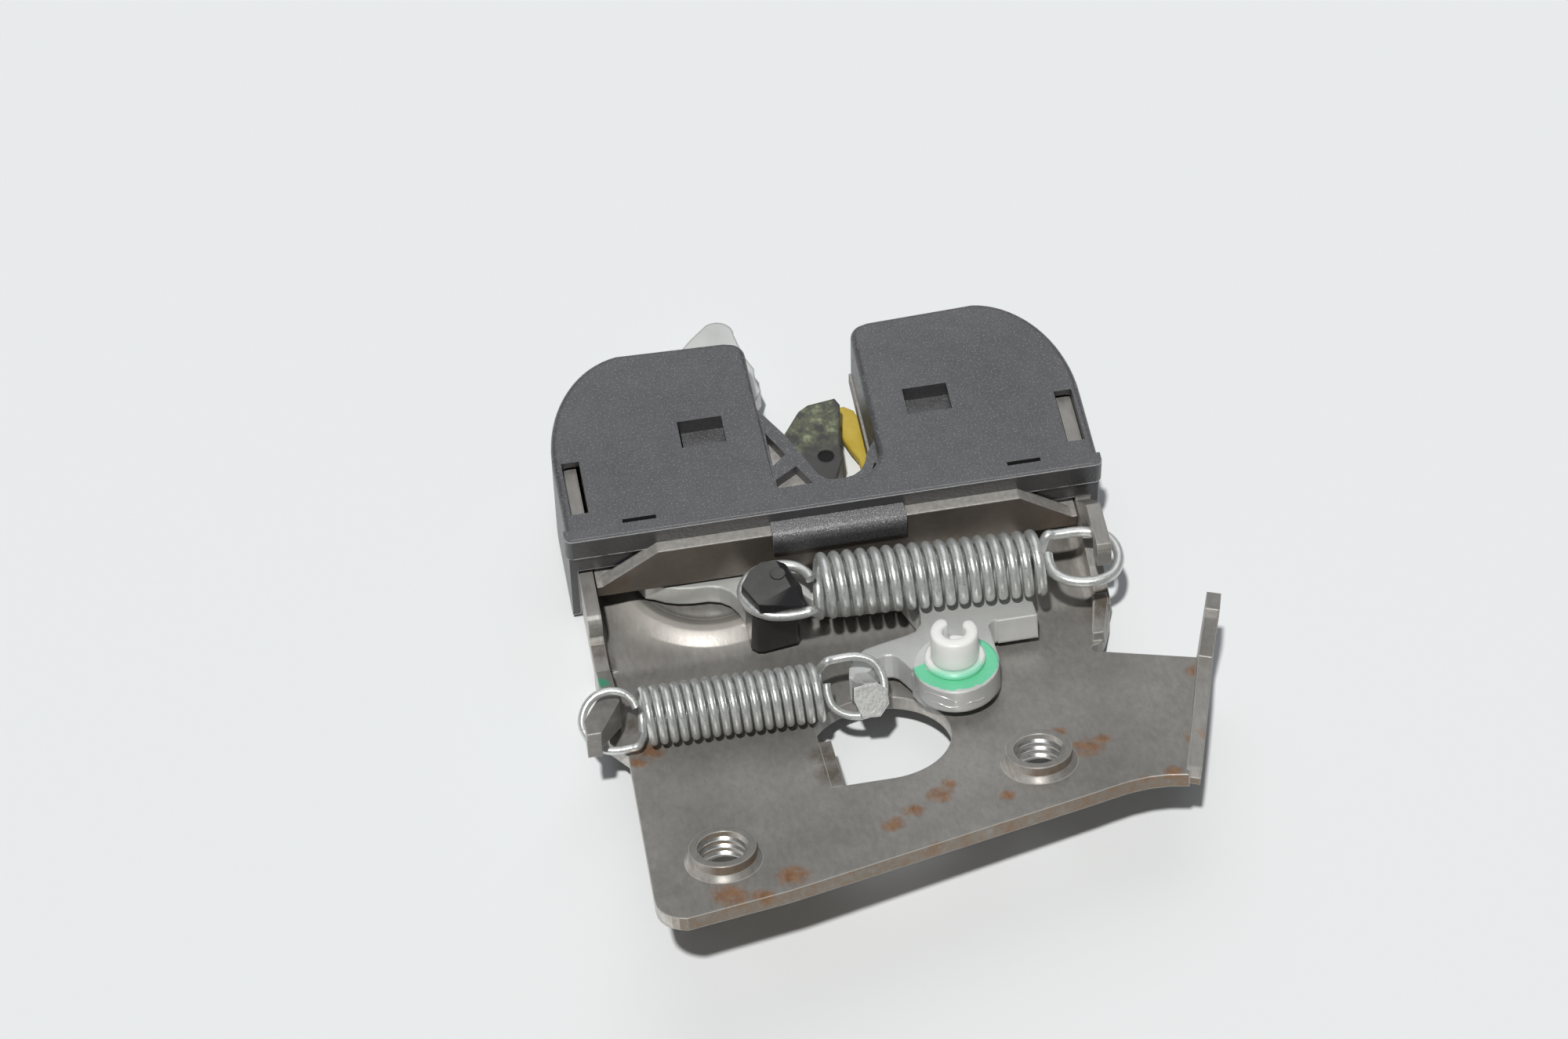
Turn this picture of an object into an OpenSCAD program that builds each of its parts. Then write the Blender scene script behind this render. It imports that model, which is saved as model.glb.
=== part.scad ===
// Seat backrest lock: a rotary claw and a spring-loaded pawl lever in a bent steel frame,
// under a moulded cover with a slot for the striker of the car body.
// X runs across the lock, Y points to the side where the striker enters, Z points up.
// The origin is on the underside of the floor, midway across, level with the two pivots.
// Below, distances from the bend are measured from where floor and mounting plate meet.

/* [Steel frame] */
// Thickness of the frame sheet
sheet_t = 2.5; // [2:0.1:3]
// Width over the two side flanges
frame_w = 92; // [90:0.5:96]
// Height of the side flanges under the cover
flange_h = 20.2; // [19:0.1:20.4]
// Height of the side flanges in front of the cover
flange_front_h = 12.2; // [11.5:0.1:13]
// Rise of the mounting plate against the floor, in degrees
bend_deg = 18.5; // [16:0.5:20]
// Inside radius of the bend between floor and mounting plate
bend_r = 6; // [4:0.5:9]
// Rear edge of the floor, from the bend
floor_back = 53.2; // [52:0.2:53.4]
// Width of the striker slot in the floor
floor_slot_w = 21.4; // [20:0.2:23]

/* [Mounting plate] */
// Diameter of the threaded holes, at the thread crests
thread_bore_d = 8.6; // [8:0.1:9.4]
// Outside diameter of the thread collars
collar_d = 11.4; // [11:0.1:13]
// Height of the thread collars above the plate
collar_h = 2.7; // [2:0.1:3.5]
// Distance between the two threaded holes
thread_pitch_c = 58.2; // [57:0.1:60]
// Turn of the row of threaded holes against the bend, in degrees
row_turn = 13.7; // [12:0.1:15]
// Diameter of the round window in the plate
window_d = 24.4; // [23:0.2:26]
// Height of the tongue at the right end of the plate
tongue_h = 14; // [10:0.5:16]

/* [Cover] */
// How far the cover stands out past each side flange
cover_over = 1.6; // [1.4:0.1:2.4]
// Height of the cover's top above the floor's underside
cover_h = 22.5; // [22.3:0.1:24]
// Rear edge of the cover, from the bend
cover_back = 55.6; // [55:0.2:58]
// Front edge of the cover, from the bend
cover_front = 15.8; // [15.6:0.1:16.2]
// Wall of the cover
cover_t = 1.3; // [1:0.1:1.4]
// Width of the striker slot in the cover
cover_slot_w = 19.4; // [18.6:0.2:20.4]
// Bottom of the striker slot in the cover, from the bend
cover_slot_y = 20.6; // [20.2:0.2:21.4]

/* [Claw] */
// Distance of the claw's pivot from the middle of the slot
pivot_x = 22.5; // [22:0.1:23]
// Distance of both pivots from the bend
pivot_y = 22.5; // [22:0.1:23]
// Thickness of the claw
claw_t = 4.3; // [3.8:0.1:4.5]
// Radius of the claw's hub
claw_hub_r = 14.2; // [13.6:0.1:14.6]
// Diameter of the pivot pins
pin_d = 9; // [8:0.2:10]
// Width of the claw's mouth, which holds the striker
mouth_w = 9; // [8.6:0.1:9.6]
// Distance of the mouth's round end from the pivot
mouth_r = 23.5; // [23:0.1:24]
// Direction of the mouth when the lock is open, in degrees
mouth_dir = 57; // [56:0.5:58]

/* [Pawl lever] */
// Distance of the pawl's pivot from the middle of the slot
pawl_x = 29; // [28.5:0.1:29.5]
// Thickness of the cast lever
lever_t = 4.8; // [4.4:0.1:5.2]
// Diameter of the rod clip's body
clip_d = 8.3; // [7.8:0.1:8.6]
// Bore of the rod clip
clip_bore = 3.9; // [3.6:0.1:4.4]
// Lean of the rod clip against the upright, in degrees
clip_lean = 10; // [8:0.5:14]
// Diameter of the rod clip's stem
clip_stem_d = 5; // [4.4:0.1:5.6]

/* [Springs] */
// Wire of the claw spring
claw_wire = 1.9; // [1.6:0.05:2]
// Outside diameter of the claw spring
claw_spring_d = 11.9; // [11.4:0.1:12.2]
// Turns of the claw spring
claw_turns = 17; // [16:1:18]
// Wire of the pawl spring
pawl_wire = 1.5; // [1.3:0.05:1.6]
// Outside diameter of the pawl spring
pawl_spring_d = 10.6; // [10:0.1:11]
// Turns of the pawl spring
pawl_turns = 17; // [16:1:18]

/* [Hidden] */
$fn = 48;
fit = 0.05;
eps = 0.01;

// Frame derived values
flange_x = frame_w / 2;
flange_in = flange_x - sheet_t;
bend_run = bend_r * tan(bend_deg / 2);
cover_w = frame_w + 2 * cover_over;
floor_slot_y = 26;
flange_back = 36.6;
plate_cut = -10.9;

// Levels of the mechanism
claw_z = 4;
claw_top = claw_z + claw_t;
lever_z = 3.9;
lever_top = lever_z + lever_t;
top_z = 9.3;
top_t = 2.5;
top_back = 53.2;
rivet_c = [flange_in - 5.3, 41];
upturn_y = 12.9;
upturn_h = 19.2;
washer_r = 7.5;

// Places on the mounting plate, as x and distance from the bend
collar_mid = [-3.6, 51.15];
window_c = [-0.3, 30.4];
tab_foot = [flange_x + 2.4, -54.4];
lever_gap = 1.8;

// Springs
claw_spring_z = 16.6;
knob_c = [-13.6, 2.4];
claw_coil = [[-6.0, 2.3], [flange_x - 11.6, 0.2]];
pawl_spring_h = 6.3;
pawl_coil = [[-flange_x + 5.5, 22.4], [-8.6, 23.1]];
loop_side = [0, 0.54, 0.84];
loop_lean = atan2(loop_side[2], loop_side[1]);

// Points of an arc about a centre
function arc(c, r, a0, a1, n) =
    [for (i = [0:n]) let (a = a0 + (a1 - a0) * i / n) [c[0] + r * cos(a), c[1] + r * sin(a)]];
// Points of an elliptical arc about a centre
function oval(c, rx, ry, a0, a1, n) =
    [for (i = [0:n]) let (a = a0 + (a1 - a0) * i / n) [c[0] + rx * cos(a), c[1] + ry * sin(a)]];
function mirrored(p) = [for (i = [len(p) - 1:-1:0]) [-p[i][0], p[i][1]]];
function polar(c, r, a) = [c[0] + r * cos(a), c[1] + r * sin(a)];

claw_c = [-pivot_x, pivot_y];
pawl_c = [pawl_x, pivot_y];

// Moves a child from the bend to the part's own origin
module placed() {
    translate([0, -pivot_y, 0]) children();
}

// Puts a child on the mounting plate: x, minus the distance from the bend, height above the plate
module on_plate() {
    translate([0, 0, sheet_t]) rotate([-bend_deg, 0, 0]) children();
}

// Extrudes a side view, drawn as Y and Z, from x0 over a width
module side_view(x0, width) {
    translate([x0, 0, 0]) rotate([90, 0, 90]) linear_extrude(width) children();
}

// Outline of the frame's floor behind the bend
module floor_outline() {
    right = [[flange_x, flange_back], [flange_x - 2.6, 43.6], [flange_x - 6.6, 49.4],
             [flange_x - 13, floor_back]];
    difference() {
        polygon(concat([[-flange_x, -3], [flange_x, -3]], right, mirrored(right)));
        translate([-floor_slot_w / 2, floor_slot_y + floor_slot_w / 2])
            square([floor_slot_w, floor_back]);
        translate([0, floor_slot_y + floor_slot_w / 2]) circle(d = floor_slot_w);
    }
}

// Outline of the mounting plate, seen along its normal, with the distance from the bend as -y
module plate_outline() {
    difference() {
        polygon(concat(
            [[-flange_x, 3], [-flange_x, -20], [-flange_x + 2.6, -24.6], [-flange_x + 1.3, -66]],
            arc([-flange_x + 7.1, -66.8], 5.8, 176, 258, 6),
            [[-22.3, -69.3], [31.5, -55.6], [flange_x - 11.4, -54.7], [flange_x - 7.8, -53.8]],
            [[flange_x - 4.2, -53.4], [flange_x - 1, -53.6], tab_foot],
            [[flange_x + 12.1, -21.2], [flange_x - 4.4, -14.8]],
            arc([flange_x - 4.4, -13.6], 1.3, 248, 80, 5),
            [[flange_x - 3.2, -11.4], [flange_x - 2.3, -9.6], [flange_x - 0.8, -5.4]],
            [[flange_x, -2], [flange_x, 3]]));
        intersection() {
            translate([window_c[0], -window_c[1]]) circle(d = window_d);
            translate([plate_cut, -window_c[1] - window_d]) square([2 * window_d, 2 * window_d]);
        }
        translate([plate_cut, -window_c[1] - window_d / 2]) square([-plate_cut, 14]);
        for (s = [-1, 1]) thread_at(s) circle(d = thread_bore_d);
    }
}

// Puts a child at the left (-1) or right (1) threaded hole
module thread_at(s) {
    translate([collar_mid[0] + s * thread_pitch_c / 2 * cos(row_turn),
               -collar_mid[1] + s * thread_pitch_c / 2 * sin(row_turn)])
        children();
}

// Outline of the left side flange, as Y and Z
module left_flange_view() {
    polygon(concat(
        [[bend_run + 4, 0], [flange_back, 0], [flange_back, flange_h - 4]],
        arc([flange_back - 4, flange_h - 4], 4, 0, 90, 5),
        [[18.5, flange_h]],
        arc([16.5, flange_front_h + 2], 2, 0, -90, 4),
        [[7.5, flange_front_h]],
        arc([7.5, flange_front_h - 2.5], 2.5, 90, 180, 5),
        [[5, 8], [4, 7.2], [-4, 7.4], [-4, 2.4], [-2, 1.6], [1, 0.8], [bend_run + 2, 0.4]]));
}

// Outline of the right side flange, as Y and Z, with the arched finger for the claw spring
module right_flange_view() {
    polygon(concat(
        [[bend_run + 4, 0], [flange_back, 0], [flange_back, flange_h - 4]],
        arc([flange_back - 4, flange_h - 4], 4, 0, 90, 5),
        [[18.5, flange_h], [18.4, 14.2], [17.4, 13.3], [15.2, 13.3], [8.2, 20.6], [0, 20.6]],
        arc([0, 19], 1.6, 90, 180, 3),
        [[-1.6, 15.4], [1.2, 15.0], [2.2, 18.1], [6.6, 18.1], [11, 11.5], [9.6, 9.6], [4, 8.4],
         [0, 7], [-2.4, 6.2], [-3, 5.9], [-3, 3], [-2, 1.6], [1, 0.8], [bend_run + 2, 0.4]]));
}

// Floor, bend and mounting plate as one bent sheet
module bent_sheet() {
    far = 90;
    c = [bend_run, sheet_t + bend_r];
    ends = [-far * cos(bend_deg), sheet_t + far * sin(bend_deg)];
    drop = [-sheet_t * sin(bend_deg), -sheet_t * cos(bend_deg)];
    intersection() {
        side_view(-80, 160) polygon(concat(
            [[far, sheet_t]],
            arc(c, bend_r, -90, -90 - bend_deg, 5),
            [ends, ends + drop],
            arc(c, bend_r + sheet_t, -90 - bend_deg, -90, 5),
            [[far, 0]]));
        union() {
            translate([0, 0, -5]) linear_extrude(20) floor_outline();
            on_plate() translate([0, 0, -10]) linear_extrude(16) plate_outline();
        }
    }
}

module base_frame() {
    color([0.46, 0.44, 0.43]) placed() difference() {
        union() {
            bent_sheet();
            on_plate() {
                for (s = [-1, 1]) thread_at(s) difference() {
                    union() {
                        translate([0, 0, -1]) cylinder(d = collar_d, h = collar_h + 1);
                        translate([0, 0, -0.3]) cylinder(d1 = collar_d + 2.4, d2 = collar_d, h = 1.2);
                    }
                    translate([0, 0, -2]) cylinder(d = thread_bore_d, h = collar_h + 3);
                }
                window_tab();
                right_tab();
            }
            side_view(-flange_x, sheet_t) left_flange_view();
            side_view(flange_in, sheet_t) right_flange_view();
            for (s = [-1, 1]) corner_fillet(s);
            left_finger();
            right_flange_end();
            floor_bead();
        }
        for (s = [-1, 1]) {
            outer_round(s);
            translate([s < 0 ? -pivot_x : pawl_x, pivot_y, -1]) cylinder(d = pin_d - 2, h = 5);
            translate([s * rivet_c[0], rivet_c[1], -1]) cylinder(d = 5, h = 5);
        }
    }
}

// Inside radius where a side flange leaves the floor
module corner_fillet(s) {
    r = 2.2;
    y0 = bend_run;
    translate([s * (flange_in + eps), flange_back, sheet_t - eps]) rotate([90, 0, 0])
        linear_extrude(flange_back - y0) difference() {
            translate([s > 0 ? -r : 0, 0]) square(r);
            translate([-s * r, r]) circle(r);
        }
}

// Outside radius of the same bend, cut from the lower edge
module outer_round(s) {
    r = 3.6;
    translate([s * flange_x, 60, 0]) rotate([90, 0, 0]) linear_extrude(60 - 0.5) difference() {
        translate([s > 0 ? -r : -1, -1]) square(r + 1);
        translate([-s * r, r]) circle(r);
    }
}

// Raised ring in the floor under the claw
module floor_bead() {
    translate([claw_c[0], claw_c[1], sheet_t - eps]) intersection() {
        rotate_extrude() polygon([[13.2, 0], [15, 0.85], [16.4, 0.95], [19.4, 0]]);
        translate([-20.8, -20.6, 0]) cube([30, 40, 2]);
    }
}

// Finger of the left flange that the pawl spring hangs on: it leans out and forward
module left_finger() {
    on_plate() {
        hull() {
            translate([-flange_x, -14.5, -0.8]) cube([sheet_t, 10, 5.4]);
            translate([-flange_x, -19, 3]) cube([sheet_t, 3, 3.6]);
        }
        hull() {
            translate([-flange_x, -19, 2.6]) cube([sheet_t, 3.5, 5.4]);
            translate([-flange_x - 4.4, -29.4, 6.2]) cube([sheet_t, 4, 3]);
        }
        hull() {
            translate([-flange_x - 4.4, -29.4, 6.2]) cube([sheet_t, 3, 3]);
            translate([-flange_x - 4.6, -30, 4.8]) cube([sheet_t, 1.6, 3]);
        }
    }
}

// Low front end of the right side flange, running in towards the plate's edge
module right_flange_end() {
    on_plate() hull() {
        translate([flange_x - 2.9, -4, -0.5]) cube([2.4, 1.6, 4.2]);
        translate([flange_x - 4.9, -11.4, -0.5]) cube([2, 1, 2.2]);
    }
}

// Short tab bent down at the left side of the round window
module window_tab() {
    translate([plate_cut - 0.2, 0, 0]) rotate([90, 0, 90]) linear_extrude(2.4)
        polygon([[-42.4, -0.2], [-28.8, -0.2], [-28.8, -6], [-36.6, -6], [-42.4, -2]]);
}

// Upturned edge at the right end of the plate, with a tongue at its rear
module right_tab() {
    tab_lean = 9;
    turn = atan2(9.5, 33.6);
    run = norm([9.5, 33.6]);
    translate([tab_foot[0], tab_foot[1], 0]) rotate([0, 0, 90 - turn]) rotate([90 + tab_lean, 0, 0])
        translate([0, 0, -0.4]) linear_extrude(sheet_t) polygon([
            [0.3, -2.1], [run - 0.4, -2.1], [run - 0.4, tongue_h], [run - 5.4, tongue_h],
            [run - 6.2, tongue_h - 1.5], [run - 7.6, 5.4], [run - 15, 5.2], [8, 2.4], [2, 0.4], [0.3, -0.8]]);
}

module top_plate() {
    reach = flange_in - 0.3;
    color([0.52, 0.5, 0.48]) placed() difference() {
        union() {
            translate([0, 0, top_z]) linear_extrude(top_t) difference() {
                polygon([[-reach, upturn_y], [reach, upturn_y], [reach, 42], [reach - 10, top_back],
                         [-reach + 10, top_back], [-reach, 42]]);
                translate([-9.3, 34]) square([18.6, 30]);
                translate([0, 34]) circle(r = 9.3);
            }
            translate([0, upturn_y + sheet_t / 2, 0]) rotate([90, 0, 0])
                translate([0, 0, -sheet_t / 2]) linear_extrude(sheet_t) polygon([
                    [-reach + 0.6, top_z], [reach - 0.6, top_z], [reach - 0.6, top_z + 2.2],
                    [reach - 10.6, upturn_h], [-reach + 11.2, upturn_h], [-reach + 0.6, top_z + 2.2]]);
        }
        for (s = [-1, 1]) {
            translate([s < 0 ? -pivot_x : pawl_x, pivot_y, top_z - 1])
                cylinder(d = pin_d - 2, h = top_t + 2);
            translate([s * rivet_c[0], rivet_c[1], top_z - 1]) cylinder(d = 5, h = top_t + 2);
        }
    }
}

// A pivot pin: a shoulder between floor and top plate, riveted flush below and with a head above
module pivot_pin(c) {
    neck = pin_d - 2 - 2 * fit;
    head_h = 1.6;
    color([0.62, 0.63, 0.63]) placed() translate([c[0], c[1], 0]) rotate_extrude() polygon([
        [0, 0], [neck / 2, 0], [neck / 2, sheet_t], [pin_d / 2, sheet_t], [pin_d / 2, top_z], [neck / 2, top_z],
        [neck / 2, top_z + top_t], [5.4, top_z + top_t], [5.4, top_z + top_t + 0.8],
        [4.6, top_z + top_t + head_h], [0, top_z + top_t + head_h]]);
}

module claw_pivot() {
    pivot_pin(claw_c);
}

module pawl_pivot() {
    pivot_pin(pawl_c);
}

// Thrust washer under a moving plate
module thrust_washer(c, z1) {
    color([0.75, 0.72, 0.62]) placed() translate([c[0], c[1], sheet_t]) difference() {
        cylinder(r = washer_r, h = z1 - sheet_t - fit);
        translate([0, 0, -1]) cylinder(d = pin_d + 2 * fit, h = 6);
    }
}

module claw_washer() {
    thrust_washer(claw_c, claw_z);
}

module pawl_washer() {
    thrust_washer(pawl_c, lever_z);
}

// Shouldered rivet that holds the top plate at its rear corners
module spacer_rivet(s) {
    neck = 5 - 2 * fit;
    head_h = 1.4;
    color([0.62, 0.63, 0.63]) placed() translate([s * rivet_c[0], rivet_c[1], 0]) rotate_extrude() polygon([
        [0, 0], [neck / 2, 0], [neck / 2, sheet_t], [3.6, sheet_t], [3.6, top_z], [neck / 2, top_z],
        [neck / 2, top_z + top_t], [4, top_z + top_t], [4, top_z + top_t + 0.6],
        [3.4, top_z + top_t + head_h], [0, top_z + top_t + head_h]]);
}

module spacer_rivet_left() {
    spacer_rivet(-1);
}

module spacer_rivet_right() {
    spacer_rivet(1);
}

// Elastomer crescent along the right side of the striker slot
module striker_damper() {
    color([0.82, 0.68, 0.14]) placed() linear_extrude(3.1) polygon(concat(
        [[6.4, 53], [8.3, 53.1], [9.9, 51.8]],
        [[floor_slot_w / 2 - fit, 49.5], [floor_slot_w / 2 - fit, 37.2]],
        arc([0, 37.2], floor_slot_w / 2 - fit, -8, -26, 3),
        [[8.9, 33.6], [9.1, 36.8], [8.7, 38.9], [7.4, 41.4], [6.6, 44.2], [6.4, 48]]));
}

// Outline of the steel claw with the lock open
module claw_outline() {
    u = [cos(mouth_dir), sin(mouth_dir)];
    w = [-sin(mouth_dir), cos(mouth_dir)];
    function at(a, b) = [claw_c[0] + u[0] * a + w[0] * b, claw_c[1] + u[1] * a + w[1] * b];
    half = mouth_w / 2;
    difference() {
        union() {
            polygon(concat(
                // Tail, with its seat in the knob
                [[-33, 14.4], [-31.2, 13.4], [-29, 12.7], [-26.4, 12.3], [-23.6, 12.2], [-21.6, 11.6],
                 [-20, 10.4], [-18.9, 8.6], [-18.1, 6.4], knob_c + [-3.7, 2.4], knob_c + [-3.5, -0.6],
                 knob_c + [-2.6, -1.4], knob_c + [2.2, -1.4], knob_c + [3, -0.6], knob_c + [3.2, 2.6],
                 polar(claw_c, 16.5, -56)],
                // Rim that the pawl rides on, and the notch it drops into
                arc(claw_c, 16.5, -56, -12, 8),
                [polar(claw_c, 13, -10), polar(claw_c, 13, 2)],
                // Core of the sleeved jaw
                [[-1.5, 28.6], [1.2, 32.4], [3, 36.4], [3.4, 41], [4.4, 47], [0.8, 47.2],
                 at(26, -half - 0.6), at(mouth_r, -half)],
                // Mouth
                [for (i = [1:7]) at(mouth_r - half * sin(i * 180 / 8), -half * cos(i * 180 / 8))],
                [at(mouth_r, half), at(36, half), [-7.2, 58], [-7, 60.6], [-8.4, 64.2], [-9.2, 69]],
                arc([-12.4, 69.8], 3.2, -12, 120, 7),
                // Back of the bare jaw, down to the hub
                [[-17.4, 69.6], [-20.4, 66.4], [-24.6, 60], [-28.4, 51], [-32, 41], [-35, 33]],
                arc(claw_c, claw_hub_r, 140, 212, 8)));
        }
    }
}

module claw() {
    color([0.7, 0.72, 0.72]) placed() translate([0, 0, claw_z]) difference() {
        linear_extrude(claw_t) claw_outline();
        translate([claw_c[0], claw_c[1], -1]) cylinder(d = pin_d + 2 * fit, h = claw_t + 2);
        translate([2.2, 37.3, -1]) cylinder(d = 2.9, h = claw_t + 2);
    }
}

// Moulded sleeve around the jaw that the striker pushes
module jaw_sleeve() {
    over = 0.9;
    color([0.16, 0.16, 0.17]) placed() difference() {
        translate([0, 0, claw_z - over + 0.1]) linear_extrude(claw_t + 2 * over - 0.4) polygon([
            [-4.3, 41.6], [-4.5, 43.4], [-0.9, 48.4], [1, 49.6], [6.1, 50.3], [6.8, 48.6],
            [5.3, 41], [5, 36], [3, 31.7], [0, 28.9], [-0.6, 31]]);
        translate([0, 0, claw_z - fit]) linear_extrude(claw_t + 2 * fit) offset(delta = fit)
            claw_outline();
        translate([2.2, 37.3, 0]) cylinder(d = 2.9, h = 20);
    }
}

// Moulded cap on the claw's tail that carries the claw spring
module tail_knob() {
    z0 = claw_z + 0.1;
    waist = claw_spring_z - claw_wire / 2 - 0.2;
    color([0.13, 0.13, 0.14]) placed() difference() {
        translate([knob_c[0], knob_c[1], 0]) {
            hull() {
                translate([0, 0, z0]) linear_extrude(0.6) polygon([
                    [-4.5, 3], [-4.4, -1.9], [-3.4, -2.9], [-2.4, -3.1], [3.8, -2.3], [4.5, -1.5], [4.4, 3]]);
                translate([0, 0, waist - 0.6]) linear_extrude(0.6) polygon([
                    [-4.2, 3], [-4.2, -3.2], [-3.3, -4.2], [-2.4, -4.4], [3.5, -3], [4.2, -2.2], [4, 3]]);
            }
            translate([-0.27, 0.34, waist - eps])
                cylinder(r = 3.1, h = claw_wire + 0.5, $fn = 32);
            hull() {
                translate([0, 0, waist + claw_wire + 0.4]) linear_extrude(0.6) polygon([
                    [-3, -5], [-0.4, -5.4], [4.4, -5.4], [4.9, -4.6], [5, -1], [3.2, 4.4], [0.1, 4.7],
                    [-3.6, 3], [-5.5, 0]]);
                translate([0, 0, waist + claw_wire + 2]) linear_extrude(0.6) polygon([
                    [-3.2, -4.8], [3, -1.9], [1.4, 4.3], [-1.2, 4.4], [-3.5, 2.9], [-5.4, 0]]);
            }
        }
        translate([0, 0, claw_z - 1]) linear_extrude(claw_t + 1 + fit) offset(delta = fit) claw_outline();
    }
}

// Flat half of the pawl lever, at the level of the claw
module lever_flat_outline() {
    polygon(concat(
        arc(pawl_c, 8.2, 0, 196, 10),
        [[18.4, 15.4], [12, 10.6]],
        // Nose that rides on the claw's rim
        [[2, 10.2], [-3.4, 10.6], [-7.2, 13.6], [-9.3, 12.2], [-9.4, 9.6], [-6.2, 5.6], [-1, 4.4], [9.4, 4]],
        [[11.4, -bend_run], [31.4, -bend_run], [31.8, 10]]));
}

// Sloping half of the pawl lever, seen along the mounting plate's normal
module lever_slope_outline() {
    polygon(concat(
        [[31.4, 1.4], [11.4, 1.4], [11.9, -4.1]],
        [[11.4, -7.6], [9.9, -9.9], [7.4, -10.8], [3.3, -11.9], [0.4, -12.9], [-1.6, -14.8]],
        [[-3.2, -18], [-3.7, -20.6], [-1.6, -21.4], [1.1, -18.4]],
        arc([3.7, -17.6], 2.1, 160, 30, 4),
        [[6.4, -18.6], [7.4, -21.4]],
        arc([14.7, -20.8], 7.9, 190, 355, 12),
        [[22.7, -12.4]],
        arc([24.6, -11.7], 1.9, 180, 90, 4),
        [[30.8, -9.8], [31.4, -6]]));
}

module pawl_lever() {
    h0 = lever_gap;
    color([0.62, 0.64, 0.63]) placed() difference() {
        union() {
            translate([0, 0, lever_z]) linear_extrude(lever_t) lever_flat_outline();
            on_plate() {
                translate([0, 0, h0]) linear_extrude(lever_t) lever_slope_outline();
                // Neck and end of the hook for the pawl spring
                hull() {
                    translate([-3.3, -20.8, 2.6]) cube([2.6, 3, 3.6]);
                    hook_frame() translate([-1.7, -1.4, 0.9]) cube([2.3, 1.7, 1]);
                }
                hook_frame() translate([-1.1, -2.6, 0.9]) linear_extrude(3)
                    polygon([[-1.8, -2.8], [1.2, -3], [3, -1], [3, 1.6], [1.4, 2.9], [-2.6, 2.6], [-2.9, 0.4]]);
            }
            // Lug, thickened down to the level of the lever's edge
            on_plate() translate([24.4, -10.2, h0]) cube([7.2, 5.6, lever_t]);
            clip_frame() translate([0, -0.9, -4.6]) cylinder(r = 7.4, h = 4.6);
        }
        translate([pawl_c[0], pawl_c[1], 0]) cylinder(d = pin_d + 2 * fit, h = 20);
        clip_frame() translate([0, 0, -9]) cylinder(d = clip_stem_d + 2 * fit, h = 12);
    }
}

// Puts a child at the hook, with Z across the loop of the pawl spring
module hook_frame() {
    translate([0, -pawl_coil[1][1], pawl_spring_h]) rotate([loop_lean, 0, 0]) children();
}

// Puts a child at the seat of the rod clip, on top of the lever
module clip_frame() {
    on_plate() translate([14.7, -22.3, lever_gap + lever_t + 1.5])
        rotate([bend_deg - clip_lean, 0, 0]) children();
}

// Clip for the release rod: a stem turning in the lever's boss, a collar, and a slotted sleeve
module rod_clip() {
    collar_t = 1.2;
    body_h = 5.8;
    slot_w = 2.5;
    color([0.93, 0.93, 0.9]) placed() clip_frame() difference() {
        union() {
            translate([0, 0, -6.2]) cylinder(d = clip_stem_d, h = 6.4);
            cylinder(d = clip_d + 2.3, h = collar_t);
            translate([0, 0, collar_t - 0.2]) cylinder(d = clip_d, h = body_h + 0.2);
        }
        translate([0, 0, collar_t]) cylinder(d = clip_bore, h = body_h + 1);
        translate([-slot_w / 2, 0, collar_t]) cube([slot_w, clip_d, body_h + 1]);
    }
}

// Sweeps a round wire along points
function unit(v) = v / norm(v);
module wire(p, d, sides) {
    n = len(p);
    t = [for (i = [0:n - 1]) unit(p[min(i + 1, n - 1)] - p[max(i - 1, 0)])];
    up = [for (i = 0, m = unit(cross(t[0], [0.3, 0.5, 0.8])); i < n;
               i = i + 1, m = i < n ? unit(m - (m * t[i]) * t[i]) : m) m];
    ring = [for (i = [0:n - 1], k = [0:sides - 1])
        let (a = 360 * k / sides) p[i] + d / 2 * (cos(a) * up[i] + sin(a) * cross(t[i], up[i]))];
    polyhedron(ring, concat(
        [[for (k = [0:sides - 1]) k]],
        [[for (k = [sides - 1:-1:0]) (n - 1) * sides + k]],
        [for (i = [0:n - 2], k = [0:sides - 1])
            let (a = i * sides + k, b = i * sides + (k + 1) % sides) [a, a + sides, b + sides, b]]));
}

// Path of an extension spring between two ends of its coil, with an oval loop at each end.
// e0 and e1 are the ends of the coil's axis, side is the direction in which the loops lie flat.
function spring_path(e0, e1, r, turns, side0, side1, reach0, reach1, seg) =
    let (ax = unit(e1 - e0), len_ = norm(e1 - e0),
         y = unit(side0 - (side0 * ax) * ax), z = cross(ax, y),
         a1 = atan2(side1 * z, side1 * y), total = 360 * turns + a1)
    concat(
        [for (i = [10:-1:0]) let (t = 90 + i * 30)
            e0 + ax * (-reach0 / 2 + reach0 / 2 * cos(t)) + y * (r * sin(t))],
        [for (i = [1:seg * turns - 1]) let (f = i / (seg * turns), a = total * f)
            e0 + ax * (len_ * f) + (y * cos(a) + z * sin(a)) * r],
        [for (i = [0:10]) let (t = 90 - i * 30)
            e1 + ax * (reach1 / 2 + reach1 / 2 * cos(t))
               + (y * cos(a1) + z * sin(a1)) * (r * sin(t))]);

module claw_spring() {
    e0 = [claw_coil[0][0], claw_coil[0][1], claw_spring_z];
    e1 = [claw_coil[1][0], claw_coil[1][1], claw_spring_z];
    color([0.7, 0.72, 0.72]) placed()
        wire(spring_path(e0, e1, (claw_spring_d - claw_wire) / 2, claw_turns,
                         [0, 1, 0], [0, 1, 0], 12.4, 13.3, 14), claw_wire, 6);
}

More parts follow.
